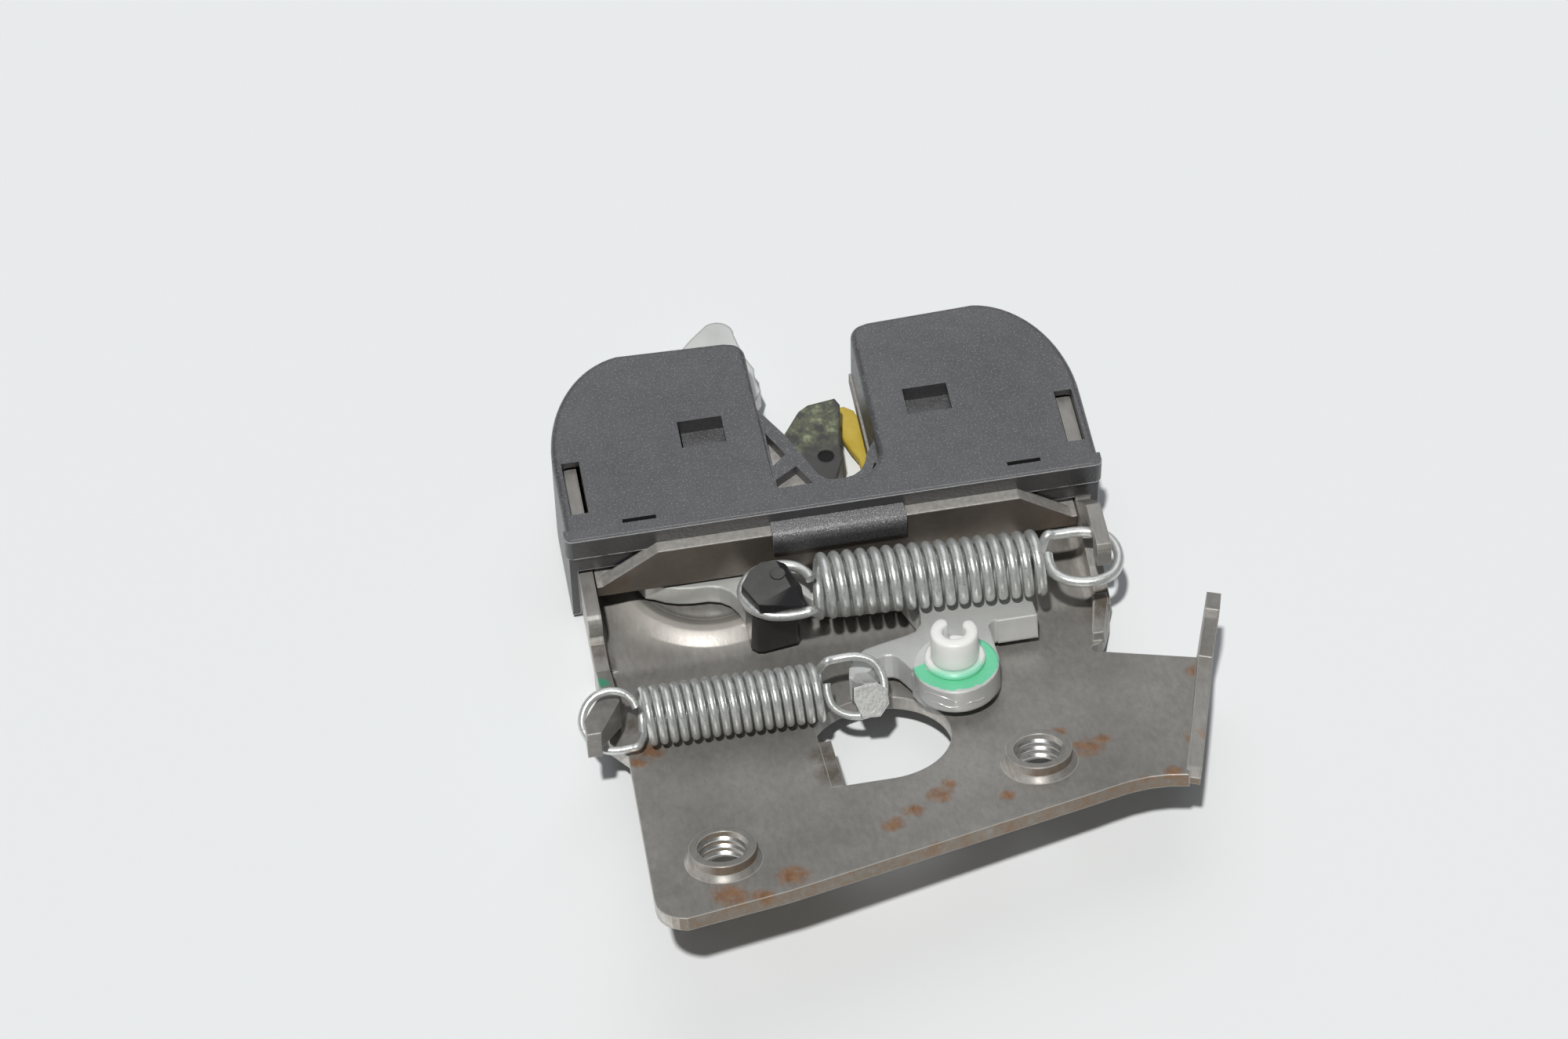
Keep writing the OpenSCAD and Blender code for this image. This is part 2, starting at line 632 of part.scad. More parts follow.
module pawl_spring() {
    e0 = [pawl_coil[0][0], -pawl_coil[0][1], pawl_spring_h];
    e1 = [pawl_coil[1][0], -pawl_coil[1][1], pawl_spring_h];
    color([0.7, 0.72, 0.72]) placed() on_plate()
        wire(spring_path(e0, e1, (pawl_spring_d - pawl_wire) / 2, pawl_turns,
                         loop_side, loop_side, 9.9, 10.6, 14), pawl_wire, 6);
}

// Outline of one half of the cover, from the slot outwards; inset moves the outer edge in
module cover_half(s, inset) {
    x1 = cover_w / 2 - inset;
    yb = cover_back - inset;
    x0 = cover_slot_w / 2 + inset;
    pts = concat(
        [[x0, cover_front + inset]],
        [[x1, cover_front + inset]],
        oval([x1 - 16.6, 33.2], 16.6, yb - 33.2, 0, 84, 10),
        [[x0 + 3.4, yb - 0.8]],
        arc([x0 + 3, yb - 4], 3, 96, 180, 5));
    polygon([for (p = pts) [s * p[0], p[1]]]);
}

module cover_outline(inset) {
    for (s = [-1, 1]) cover_half(s, inset);
    translate([-cover_w / 2 + inset, cover_front + inset])
        square([cover_w - 2 * inset, cover_slot_y - cover_front - 2 * inset]);
    // Fillet at the right of the slot
    difference() {
        translate([3, cover_slot_y - inset - 1]) square([cover_slot_w / 2 - 3 + inset, 6.6]);
        translate([cover_slot_w / 2 - 6 + inset, cover_slot_y + 6 - inset]) circle(6);
    }
}

// Web at the bottom of the slot, a little below the cover's top, with a truss beside the claw
module cover_truss() {
    x0 = -cover_slot_w / 2;
    translate([0, 0, cover_h - 2.4 - cover_t]) linear_extrude(cover_t) difference() {
        polygon([[x0 - 0.6, cover_slot_y - 0.5], [x0 - 0.6, 41.4], [x0, 41.4], [-5.7, 34.3],
                 [-1.4, 24.2], [0, 22.9], [1.6, 22.6], [4.8, 23], [6.2, 23.9], [7.1, 25.3], [7.7, 27],
                 [-x0, 30.4], [0.6 - x0, 30.4], [0.6 - x0, cover_slot_y - 0.5]]);
        polygon([[-9.1, 35.4], [-6.4, 29.9], [-9.1, 27.6]]);
        polygon([[-9.1, 24.4], [-5, 26.9], [-2.5, 22.2], [-9.1, 21.6]]);
    }
}

module cover() {
    top_r = 1.8;
    wall_z0 = 1.4;
    color([0.22, 0.225, 0.235]) placed() for (s = [-1, 1])
        translate([s * (flange_x - 1) - 1, 18.7, flange_h])
            cube([2, 2.5, cover_h - cover_t - flange_h + eps]);
    color([0.22, 0.225, 0.235]) placed() cover_truss();
    color([0.22, 0.225, 0.235]) placed() difference() {
        union() {
            translate([0, 0, wall_z0]) linear_extrude(cover_h - top_r - wall_z0) cover_outline(0);
            translate([0, 0, cover_h - top_r - eps]) linear_extrude(top_r * 0.55) cover_outline(0.35);
            translate([0, 0, cover_h - top_r * 0.5]) linear_extrude(top_r * 0.5) cover_outline(1);
            // Lip along the front edge
            translate([-cover_w / 2 - 0.5, cover_front - 0.3, cover_h - 4.6])
                cube([cover_w + 1, 2.6, 3.9]);
        }
        // Inside of the shell, open at the bottom
        translate([0, 0, wall_z0 - 1]) linear_extrude(cover_h - cover_t - wall_z0 + 1)
            cover_outline(cover_t);
        // Front wall is open below the top plate's upturned edge
        translate([-flange_x - fit, cover_front - 3, -1]) cube([2 * flange_x + 2 * fit, 3 + cover_t + 1, 14.6]);
        // Open round the claw's sweep and the top plate
        translate([-36, cover_slot_y - 4, -1]) cube([62, 60, 13.2]);
        // Snap windows
        for (s = [-1, 1]) translate([s * 20.4 - 4, 32.9, cover_h - 4]) cube([8, 6, 8]);
        // Windows over the side flanges
        for (s = [-1, 1]) translate([s * (flange_x - 1.5) - 1.6, 21.4, cover_h - 4]) cube([3.2, 11.8, 8]);
        // Narrow slits above the front edge
        for (s = [-1, 1]) translate([s * (cover_w / 2 - 13.2) - 3, 17.8, cover_h - 4]) cube([6, 0.8, 8]);
    }
}

// Edge trim snapped on the upturned edge of the top plate
module edge_clip() {
    t = 1.1;
    y0 = upturn_y - t;
    color([0.16, 0.165, 0.175]) placed() side_view(-11.8, 24) difference() {
        polygon(concat(
            [[y0, upturn_h - 6.8]],
            [[y0, upturn_h - 0.4]],
            arc([y0 + 1.2, upturn_h - 0.2], 1.2, 180, 90, 4),
            [[upturn_y + sheet_t - 0.2, upturn_h + 1], [upturn_y + sheet_t + fit, upturn_h + 0.6],
             [upturn_y + sheet_t + fit, upturn_h - 5], [y0 + 0.4, upturn_h - 6.8]]));
        translate([upturn_y - fit, upturn_h - 12]) square([sheet_t + 0.4, 12 + fit]);
    }
}

base_frame();
top_plate();
claw_pivot();
pawl_pivot();
claw_washer();
pawl_washer();
spacer_rivet_left();
spacer_rivet_right();
striker_damper();
claw();
jaw_sleeve();
tail_knob();
pawl_lever();
rod_clip();
claw_spring();
pawl_spring();
cover();
edge_clip();
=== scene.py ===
import math

import bmesh
import bpy
from mathutils import Matrix, Vector


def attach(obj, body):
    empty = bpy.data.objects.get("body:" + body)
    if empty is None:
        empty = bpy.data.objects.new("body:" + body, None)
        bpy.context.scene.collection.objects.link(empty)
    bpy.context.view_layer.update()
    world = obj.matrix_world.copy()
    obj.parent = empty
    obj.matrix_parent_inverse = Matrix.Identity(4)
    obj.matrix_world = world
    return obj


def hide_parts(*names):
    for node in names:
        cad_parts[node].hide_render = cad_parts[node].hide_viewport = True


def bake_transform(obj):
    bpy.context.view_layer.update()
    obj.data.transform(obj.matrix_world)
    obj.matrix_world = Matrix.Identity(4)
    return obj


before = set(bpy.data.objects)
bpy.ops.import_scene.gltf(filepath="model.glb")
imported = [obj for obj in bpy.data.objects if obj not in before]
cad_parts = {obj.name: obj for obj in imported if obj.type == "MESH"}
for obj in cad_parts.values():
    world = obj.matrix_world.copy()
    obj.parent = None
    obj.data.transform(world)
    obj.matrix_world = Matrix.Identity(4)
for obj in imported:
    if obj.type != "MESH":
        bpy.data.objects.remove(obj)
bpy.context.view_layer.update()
mm = 0.001

# The camera stands in front of the lock and a little to its left, looking down on it
# at about half a right angle. The point cover_aim on the cover's top falls on the pixel
# where the photograph has it. Lengths are in millimetres until they go on the camera.
view_height = math.radians(51.2)
view_turn = math.radians(8.8)
view_roll = math.radians(1.6)
frame_width_px = 2000
frame_height_px = 1325
focal_px = 6500
view_distance = 896.6
cover_top_z = 22.5
cover_aim = Vector((0, -4.5, cover_top_z))
cover_aim_px = (1062, 627)
sensor_width = 36

right = Vector((1, 0, 0))
back = Vector((0, -math.cos(view_height), math.sin(view_height)))
up = back.cross(right)
turn = (Matrix.Rotation(view_roll, 3, "Z") @ Matrix((right, up, back))
        @ Matrix.Rotation(view_turn, 3, "Z"))
aim = Vector(((cover_aim_px[0] - frame_width_px / 2) * view_distance / focal_px,
              -(cover_aim_px[1] - frame_height_px / 2) * view_distance / focal_px,
              -view_distance))
camera_place = turn.transposed() @ (turn @ cover_aim - aim)
camera_data = bpy.data.cameras.new("camera")
camera_data.sensor_width = sensor_width
camera_data.lens = focal_px / frame_width_px * sensor_width
camera_data.clip_start = 0.01
camera = bpy.data.objects.new("camera", camera_data)
camera.matrix_world = Matrix.Translation(camera_place * mm) @ turn.transposed().to_4x4()
bpy.context.scene.collection.objects.link(camera)
bpy.context.scene.camera = camera

# The lock lies on a pale table, lit by one small lamp above the camera. The room around
# it is dim but for a white wall behind, which shows as a sheen on faces turned up.
wall_way = (0.096, 0.62, 0.777)
wall_edge = math.radians(36)
wall_core = math.radians(14)
room_light = 0.09
wall_light = 0.90
room_colour = (0.95, 0.97, 1.0, 1)
lamp_light = 2.72
lamp_size = math.radians(2.6)
lamp_lean = (math.radians(22.5), math.radians(-9.5), 0)
table_half = 3
table_drop = 0.02
table_colour = (0.82, 0.845, 0.86, 1)


def join(owner, source, target):
    owner.node_tree.links.new(source, target)


def add(owner, kind, links=(), operation=None):
    node = owner.node_tree.nodes.new(kind)
    if operation:
        node.operation = operation
    for source, socket in links:
        join(owner, source, node.inputs[socket])
    return node


def along(owner, vector, way):
    node = add(owner, "ShaderNodeVectorMath", [(vector, 0)], "DOT_PRODUCT")
    node.inputs[1].default_value = way
    return node.outputs["Value"]


bpy.context.scene.view_settings.view_transform = "Standard"
world = bpy.data.worlds.new("white room")
bpy.context.scene.world = world
world.use_nodes = True
sky = world.node_tree.nodes["Background"]
sky.inputs["Color"].default_value = room_colour
room = add(world, "ShaderNodeTexCoord").outputs["Generated"]
white_wall = add(world, "ShaderNodeMapRange", [(along(world, room, wall_way), "Value")])
white_wall.interpolation_type = "SMOOTHSTEP"
white_wall.inputs["From Min"].default_value = math.cos(wall_edge)
white_wall.inputs["From Max"].default_value = math.cos(wall_core)
white_wall.inputs["To Min"].default_value = room_light
white_wall.inputs["To Max"].default_value = wall_light
join(world, white_wall.outputs["Result"], sky.inputs["Strength"])

lamp_data = bpy.data.lights.new("key lamp", "SUN")
lamp_data.energy = lamp_light
lamp_data.angle = lamp_size
lamp_data.color = (1.0, 0.985, 0.96)
lamp = bpy.data.objects.new("key lamp", lamp_data)
lamp.rotation_euler = lamp_lean
bpy.context.scene.collection.objects.link(lamp)

table_mesh = bmesh.new()
bmesh.ops.create_grid(table_mesh, x_segments=1, y_segments=1, size=table_half)
bmesh.ops.translate(table_mesh, verts=table_mesh.verts, vec=(0, 0, -table_drop * mm))
table_data = bpy.data.meshes.new("table")
table_mesh.to_mesh(table_data)
table_mesh.free()
table = bpy.data.objects.new("table", table_data)
bpy.context.scene.collection.objects.link(table)
table_paint = bpy.data.materials.new("table paint")
table_paint.use_nodes = True
table_shader = table_paint.node_tree.nodes["Principled BSDF"]
table_shader.inputs["Base Color"].default_value = table_colour
table_shader.inputs["Roughness"].default_value = 0.7
table_data.materials.append(table_paint)

# The frame is one piece of 2.5 mm steel, pressed, bent up at both sides and tilted up in
# front. It is bare, grey and slightly oily, with rust where the skin is broken. The
# floor has a pressed bead round the claw's pin.
bend_to_pivots = 22.5
sheet = 2.5
plate_rise = math.radians(18.5)
plate = (Matrix.Translation(Vector((0, -bend_to_pivots, sheet)) * mm)
         @ Matrix.Rotation(-plate_rise, 4, "X"))
rust_spread = 1.3
bead_centre = (-22.5, 0, 0)
bead_inner_r = 12
bead_outer_r = 24


def finish(name, metallic=0.0, roughness=0.5):
    material = bpy.data.materials.new(name)
    material.use_nodes = True
    shader = material.node_tree.nodes["Principled BSDF"]
    shader.inputs["Metallic"].default_value = metallic
    shader.inputs["Roughness"].default_value = roughness
    return material, shader


def object_place(material):
    return add(material, "ShaderNodeTexCoord").outputs["Object"]


def true_normal(material):
    return add(material, "ShaderNodeNewGeometry").outputs["Normal"]


def part(material, vector, axis):
    return add(material, "ShaderNodeSeparateXYZ", [(vector, "Vector")]).outputs[axis]


def between(material, source, first, last):
    share = add(material, "ShaderNodeMapRange", [(source, "Value")])
    share.inputs["From Min"].default_value = first
    share.inputs["From Max"].default_value = last
    return share.outputs["Result"]


def reckon(material, operation, first, second=None):
    node = add(material, "ShaderNodeMath", [(first, 0)], operation)
    if isinstance(second, float):
        node.inputs[1].default_value = second
    elif second is not None:
        join(material, second, node.inputs[1])
    return node.outputs["Value"]


def grain(material, scale, detail=4.0, rough=0.55, stretch=(1, 1, 1)):
    mapped = add(material, "ShaderNodeMapping", [(object_place(material), "Vector")])
    mapped.inputs["Scale"].default_value = stretch
    noise = add(material, "ShaderNodeTexNoise", [(mapped.outputs["Vector"], "Vector")])
    noise.inputs["Scale"].default_value = scale
    noise.inputs["Detail"].default_value = detail
    noise.inputs["Roughness"].default_value = rough
    return noise.outputs["Fac"]


def steps(material, source, *stops, curve="LINEAR"):
    ramp = add(material, "ShaderNodeValToRGB", [(source, "Fac")])
    ramp.color_ramp.interpolation = curve
    stops = [(position, (*shade, 1) if isinstance(shade, tuple) else (shade, shade, shade, 1))
             for position, shade in stops]
    for element, (position, shade) in zip(ramp.color_ramp.elements, (stops[0], stops[-1])):
        element.position = position
        element.color = shade
    for position, shade in stops[1:-1]:
        ramp.color_ramp.elements.new(position).color = shade
    return ramp.outputs["Color"]


def blend_colours(material, share, first, second, mode="MIX"):
    node = add(material, "ShaderNodeMix")
    node.data_type = "RGBA"
    node.blend_type = mode
    for value, number in ((share, 0), (first, 6), (second, 7)):
        socket = node.inputs[number]
        if isinstance(value, float):
            socket.default_value = value
        elif isinstance(value, tuple):
            socket.default_value = (*value, 1)
        else:
            join(material, value, socket)
    return node.outputs[2]


def soft_normal(material, reach, samples=4):
    soft = add(material, "ShaderNodeBevel")
    soft.samples = samples
    soft.inputs["Radius"].default_value = reach * mm
    return soft.outputs["Normal"]


def relief(material, height, depth, normal=None):
    node = add(material, "ShaderNodeBump", [(height, "Height")])
    node.inputs["Distance"].default_value = depth * mm
    node.inputs["Strength"].default_value = 1
    if normal is not None:
        join(material, normal, node.inputs["Normal"])
    return node.outputs["Normal"]


def bump(material, shader, height, depth, edge=None):
    normal = soft_normal(material, edge) if edge else None
    join(material, relief(material, height, depth, normal), shader.inputs["Normal"])


def distance(material, vector, centre):
    node = add(material, "ShaderNodeVectorMath", [(vector, 0)], "DISTANCE")
    node.inputs[1].default_value = Vector(centre) * mm
    return node.outputs["Value"]


def near(material, centre, reach):
    return between(material, distance(material, object_place(material), centre), reach * mm, 0)


def patches(material, places, ragged):
    share = None
    for centre, reach in places:
        patch = reckon(material, "MULTIPLY", near(material, centre, reach), ragged)
        share = patch if share is None else reckon(material, "MAXIMUM", share, patch)
    return share


# Mask of the rounded edges, which get painted lighter: partly bare, rubbed edges and partly a
# painted highlight.
def edge_wear_and_highlight(material, reach):
    soft = soft_normal(material, reach, 6)
    alike = add(material, "ShaderNodeVectorMath", [(soft, 0), (true_normal(material), 1)],
                "DOT_PRODUCT")
    return between(material, alike.outputs["Value"], 0.995, 0.90)


def wear(node_name, material):
    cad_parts[node_name].data.materials.clear()
    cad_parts[node_name].data.materials.append(material)


def on_plate(x, away, height):
    return (plate @ (Vector((x, -away, height)) * mm)) / mm


steel, shader = finish("frame steel", metallic=0.35)
clouds = grain(steel, 45, 5, 0.6)
scuffs = grain(steel, 1100, 4, 0.7, stretch=(1, 0.3, 1))
dust = grain(steel, 4200, 2, 0.5)
ragged = grain(steel, 420, 5, 0.75)
skin = steps(steel, clouds, (0.3, (0.235, 0.226, 0.212)), (0.7, (0.335, 0.325, 0.308)))
skin = blend_colours(steel, 0.14, skin, steps(steel, scuffs, (0.35, 0.15), (0.65, 0.85)), "OVERLAY")
skin = blend_colours(steel, steps(steel, dust, (0.68, 0), (0.75, 0.45)), skin, (0.42, 0.38, 0.33))

rust_places = [((6.6, 49.4), 3.6), ((1.5, 52.5), 2.8), ((-2.6, 55.7), 3.2), ((33.6, 42.2), 4.2),
               ((36.5, 40.5), 2.2), ((-32.4, 68.0), 4.6), ((-27, 69.5), 3.0), ((-21.5, 65.4), 4.2),
               ((-11, 68.5), 3.2), ((3.4, 63.8), 2.6), ((8.4, 46.5), 2.4), ((17.5, 52.5), 2.2),
               ((40.4, 55.6), 4.0), ((46, 53), 2.6), ((53.5, 46.2), 3.6), ((57, 25), 3.4),
               ((29.5, 36.8), 2.2), ((52, 44), 3.0), ((-39.7, 24.2), 3.8), ((-42, 27), 2.4)]
rust = patches(steel, [(on_plate(x, away, 0.3), reach * rust_spread)
                       for (x, away), reach in rust_places], ragged)
rust_share = steps(steel, rust, (0.20, 0), (0.30, 0.5), (0.42, 0.85))
rust_shade = steps(steel, scuffs, (0.35, (0.24, 0.105, 0.04)), (0.65, (0.36, 0.19, 0.085)))
skin = blend_colours(steel, rust_share, skin, rust_shade)

grime_places = [(on_plate(-10, 33, -1.5), 6.5), (on_plate(-9.6, 38, -1), 7.0),
                ((-41.5, -36.5, 9), 5.5), ((44.6, -6.4, 15), 3.2), ((43.0, -5, 5), 8),
                ((44.5, -26, 8), 9), ((-44.6, -20, 5), 6)]
grime_share = steps(steel, patches(steel, grime_places, ragged), (0.18, 0), (0.42, 0.75))
skin = blend_colours(steel, grime_share, skin, (0.085, 0.058, 0.036))

plate_up = plate.to_3x3() @ Vector((0, 0, 1))
cut_side = steps(steel, along(steel, true_normal(steel), plate_up), (0.25, 1), (0.45, 0))
far_front = between(steel, part(steel, object_place(steel), "Y"), -64 * mm, -70 * mm)
brown_share = reckon(steel, "MULTIPLY", reckon(steel, "MULTIPLY", cut_side, far_front),
                     steps(steel, ragged, (0.3, 0.25), (0.7, 0.85)))
brown_shade = steps(steel, ragged, (0.4, (0.17, 0.125, 0.07)), (0.7, (0.23, 0.12, 0.05)))
skin = blend_colours(steel, brown_share, skin, brown_shade)

# Faces turned towards the left, such as the right upturn, are painted lighter: a painted highlight.
left_facing_highlight = between(steel, part(steel, true_normal(steel), "X"), -0.3, -0.8)
left_facing_highlight_colour = steps(steel, scuffs, (0.3, (0.46, 0.43, 0.40)), (0.7, (0.78, 0.75, 0.71)))
skin = blend_colours(steel, left_facing_highlight, skin, left_facing_highlight_colour)
# Edges are painted lighter, partly bare steel and partly a painted highlight.
skin = blend_colours(steel, edge_wear_and_highlight(steel, 0.3), skin, (0.62, 0.60, 0.56))
green_places = [((-46.4, -30, 9.5), 4.5), ((-46.2, -34, 11), 4.0)]
green_share = steps(steel, patches(steel, green_places, ragged), (0.2, 0), (0.26, 0.9))
skin = blend_colours(steel, green_share, skin, (0.06, 0.42, 0.24))

flat_place = add(steel, "ShaderNodeVectorMath", [(object_place(steel), 0)], "MULTIPLY")
flat_place.inputs[1].default_value = (1, 1, 0)
bead_span = between(steel, distance(steel, flat_place.outputs["Vector"], bead_centre),
                    bead_inner_r * mm, bead_outer_r * mm)
bead = steps(steel, bead_span, (0.08, 0), (0.34, 1), (0.72, 0), curve="B_SPLINE")
on_floor = between(steel, part(steel, object_place(steel), "Z"), 4.0 * mm, 3.6 * mm)
pressed = reckon(steel, "MULTIPLY", bead, on_floor)
# The bead's ridge is also painted lighter: a painted highlight on its slope.
skin = blend_colours(steel, steps(steel, pressed, (0.1, 0), (0.8, 0.8)), skin, (0.62, 0.59, 0.55))
join(steel, skin, shader.inputs["Base Color"])
join(steel, steps(steel, scuffs, (0.2, 0.34), (0.8, 0.5)), shader.inputs["Roughness"])
swell = relief(steel, pressed, 1.3, soft_normal(steel, 0.5))
join(steel, relief(steel, scuffs, 0.03, swell), shader.inputs["Normal"])
wear("base_frame", steel)

# Each collar of the frame has a coarse thread cut in it for the bolt from the seat. The
# cut is bright, because nothing covers it.
thread_places = {"thread_left": (-31.872, 58.042), "thread_right": (24.672, 44.258)}
thread_pitch = 1.5
thread_turns = 3
thread_low = -2.2
turn_steps = 40
crest_r = 3.9
crest_half = 0.1
root_r = 4.42
root_half = 0.62


def new_piece(name, mesh, material, body, smooth_below=35):
    data = bpy.data.meshes.new(name)
    mesh.to_mesh(data)
    mesh.free()
    data.shade_smooth()
    data.set_sharp_from_angle(angle=math.radians(smooth_below))
    data.materials.append(material)
    piece = bpy.data.objects.new(name, data)
    bpy.context.scene.collection.objects.link(piece)
    if body:
        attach(piece, body)
    return piece


thread_steel, shader = finish("thread steel", metallic=0.85, roughness=0.28)
rubbed = grain(thread_steel, 900, 3, 0.6)
skin = steps(thread_steel, rubbed, (0.3, (0.42, 0.42, 0.41)), (0.7, (0.66, 0.66, 0.65)))
join(thread_steel, skin, shader.inputs["Base Color"])
bump(thread_steel, shader, rubbed, 0.02)
for name, (x, away) in thread_places.items():
    mesh = bmesh.new()
    ridge = mesh.faces.new([mesh.verts.new(Vector((r, 0, z)) * mm) for r, z in
                            ((root_r, -root_half), (crest_r, -crest_half),
                             (crest_r, crest_half), (root_r, root_half))])
    bmesh.ops.spin(mesh, geom=[ridge], cent=(0, 0, 0), axis=(0, 0, 1),
                   angle=math.tau * thread_turns, dvec=(0, 0, thread_pitch * mm / turn_steps),
                   steps=turn_steps * thread_turns, use_merge=False)
    bmesh.ops.recalc_face_normals(mesh, faces=mesh.faces)
    collar = plate @ Matrix.Translation(Vector((x, -away, thread_low)) * mm)
    bmesh.ops.transform(mesh, matrix=collar, verts=mesh.verts)
    new_piece(name, mesh, thread_steel, "frame", 20)

# The top plate is pressed from the same steel. Its front edge is turned up across the
# whole lock, and carries the trim in the middle. The steel is dark, and faces that point
# up are painted much lighter, partly as bare cut steel and partly as a painted highlight.
plate_steel, shader = finish("top plate steel", metallic=0.5)
clouds = grain(plate_steel, 60, 5, 0.6)
scuffs = grain(plate_steel, 1100, 3, 0.7)
ragged = grain(plate_steel, 300, 5, 0.7)
skin = steps(plate_steel, clouds, (0.3, (0.105, 0.09, 0.075)), (0.7, (0.19, 0.165, 0.14)))
stain_places = [((40, -9, 12), 7), ((8, -9, 18), 3), ((-40, -9, 12), 5), ((22, -9, 11), 5)]
stain_share = steps(plate_steel, patches(plate_steel, stain_places, ragged), (0.15, 0), (0.45, 0.6))
skin = blend_colours(plate_steel, stain_share, skin, (0.11, 0.08, 0.055))
# Faces that point up are painted lighter: partly bare cut steel, partly a painted highlight.
faces_up = steps(plate_steel, part(plate_steel, true_normal(plate_steel), "Z"), (0.5, 0), (0.75, 1))
bright = steps(plate_steel, scuffs, (0.3, (0.40, 0.385, 0.36)), (0.7, (0.56, 0.545, 0.52)))
skin = blend_colours(plate_steel, faces_up, skin, bright)
join(plate_steel, skin, shader.inputs["Base Color"])
join(plate_steel, steps(plate_steel, scuffs, (0.2, 0.32), (0.8, 0.5)), shader.inputs["Roughness"])
bump(plate_steel, shader, scuffs, 0.04, 0.5)
wear("top_plate", plate_steel)

# Pins and rivets are turned from bright steel, zinc plated, and their ends are formed
# over after they are put in.
pin_zinc, shader = finish("pin zinc", metallic=0.9, roughness=0.34)
clouds = grain(pin_zinc, 300, 4, 0.6)
skin = steps(pin_zinc, clouds, (0.3, (0.40, 0.41, 0.40)), (0.7, (0.58, 0.59, 0.58)))
join(pin_zinc, skin, shader.inputs["Base Color"])
bump(pin_zinc, shader, clouds, 0.03, 0.3)
for name in ("claw_pivot", "pawl_pivot", "spacer_rivet_left", "spacer_rivet_right"):
    wear(name, pin_zinc)

# Thrust washers keep the claw and the lever off the floor. They are moulded in plain
# natural plastic.
washer_plastic, shader = finish("washer plastic")
clouds = grain(washer_plastic, 500, 3, 0.5)
skin = steps(washer_plastic, clouds, (0.3, (0.50, 0.46, 0.34)), (0.7, (0.58, 0.54, 0.42)))
join(washer_plastic, skin, shader.inputs["Base Color"])
bump(washer_plastic, shader, clouds, 0.03, 0.3)
for name in ("claw_washer", "pawl_washer"):
    wear(name, washer_plastic)

# The striker damper is moulded in yellow rubber and pressed into the slot of the floor.
# A thin lip with a rounded edge lies on the floor, and a root goes down beside the slot.
lip_span = (1.7, 3.1)
lip_outline = [(6.9, 53), (8.3, 53.1), (9.9, 51.8), (10.62, 49.5), (10.62, 37.4), (10.1, 36.6),
               (9.2, 37.2), (8.8, 38.3), (8.7, 40.3), (7.6, 42.9), (6.7, 45.8), (6.6, 50)]
root_span = (0.1, 1.9)
root_outline = [(8.6, 52.6), (9.9, 51.7), (10.6, 49.5), (10.6, 37.6), (9.8, 37.6), (9.5, 45)]


def prism(mesh, outline, low, high, front=bend_to_pivots):
    base = mesh.faces.new([mesh.verts.new(Vector((x, y - front, low)) * mm) for x, y in outline])
    grown = bmesh.ops.extrude_face_region(mesh, geom=[base])
    risen = [item for item in grown["geom"] if isinstance(item, bmesh.types.BMVert)]
    bmesh.ops.translate(mesh, verts=risen, vec=(0, 0, (high - low) * mm))
    return set(risen)


def round_off(mesh, edges, width, segments, clamp=True):
    bmesh.ops.bevel(mesh, geom=edges, offset=width * mm, offset_type="OFFSET", segments=segments,
                    profile=0.5, affect="EDGES", clamp_overlap=clamp, material=-1)


damper_rubber, shader = finish("damper rubber", roughness=0.42)
clouds = grain(damper_rubber, 260, 4, 0.6)
skin = steps(damper_rubber, clouds, (0.3, (0.50, 0.36, 0.04)), (0.7, (0.60, 0.45, 0.07)))
join(damper_rubber, skin, shader.inputs["Base Color"])
bump(damper_rubber, shader, clouds, 0.06, 0.5)
mesh = bmesh.new()
lip_top = prism(mesh, lip_outline, *lip_span)
prism(mesh, root_outline, *root_span)
bmesh.ops.recalc_face_normals(mesh, faces=mesh.faces)
round_off(mesh, [edge for edge in mesh.edges if lip_top.issuperset(edge.verts)], 0.4, 3)
damper = new_piece("damper_pad", mesh, damper_rubber, "frame", 40)
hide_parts("striker_damper")

# The claw is stamped from thick steel and zinc plated. The plating is dull, with thin
# grease on it and fine scratches, and the stamped rim is a little rounded.
claw_zinc, shader = finish("claw zinc", metallic=0.4)
clouds = grain(claw_zinc, 90, 5, 0.6)
scratches = grain(claw_zinc, 1400, 3, 0.7, stretch=(0.3, 1, 1))
skin = steps(claw_zinc, clouds, (0.3, (0.56, 0.575, 0.56)), (0.7, (0.70, 0.715, 0.70)))
join(claw_zinc, skin, shader.inputs["Base Color"])
join(claw_zinc, steps(claw_zinc, scratches, (0.2, 0.3), (0.8, 0.46)), shader.inputs["Roughness"])
bump(claw_zinc, shader, scratches, 0.03, 0.6)
wear("claw", claw_zinc)

# A hard black sleeve is moulded round the jaw that the striker pushes. It is smeared
# with green grease near its tip. A near-black disc down in its small hole is painted shade.
grease_centre = (0, 23, 9)
grease_reach = 9
hole_r = 1.44
hole_shade_centre = (2.2, 37.3 - bend_to_pivots, 8.4)
hole_shade_thick = 0.16


def disc(radius, thick, centre):
    mesh = bmesh.new()
    bmesh.ops.create_cone(mesh, cap_ends=True, segments=32, radius1=radius * mm,
                          radius2=radius * mm, depth=thick * mm)
    bmesh.ops.translate(mesh, verts=mesh.verts, vec=Vector(centre) * mm)
    return mesh


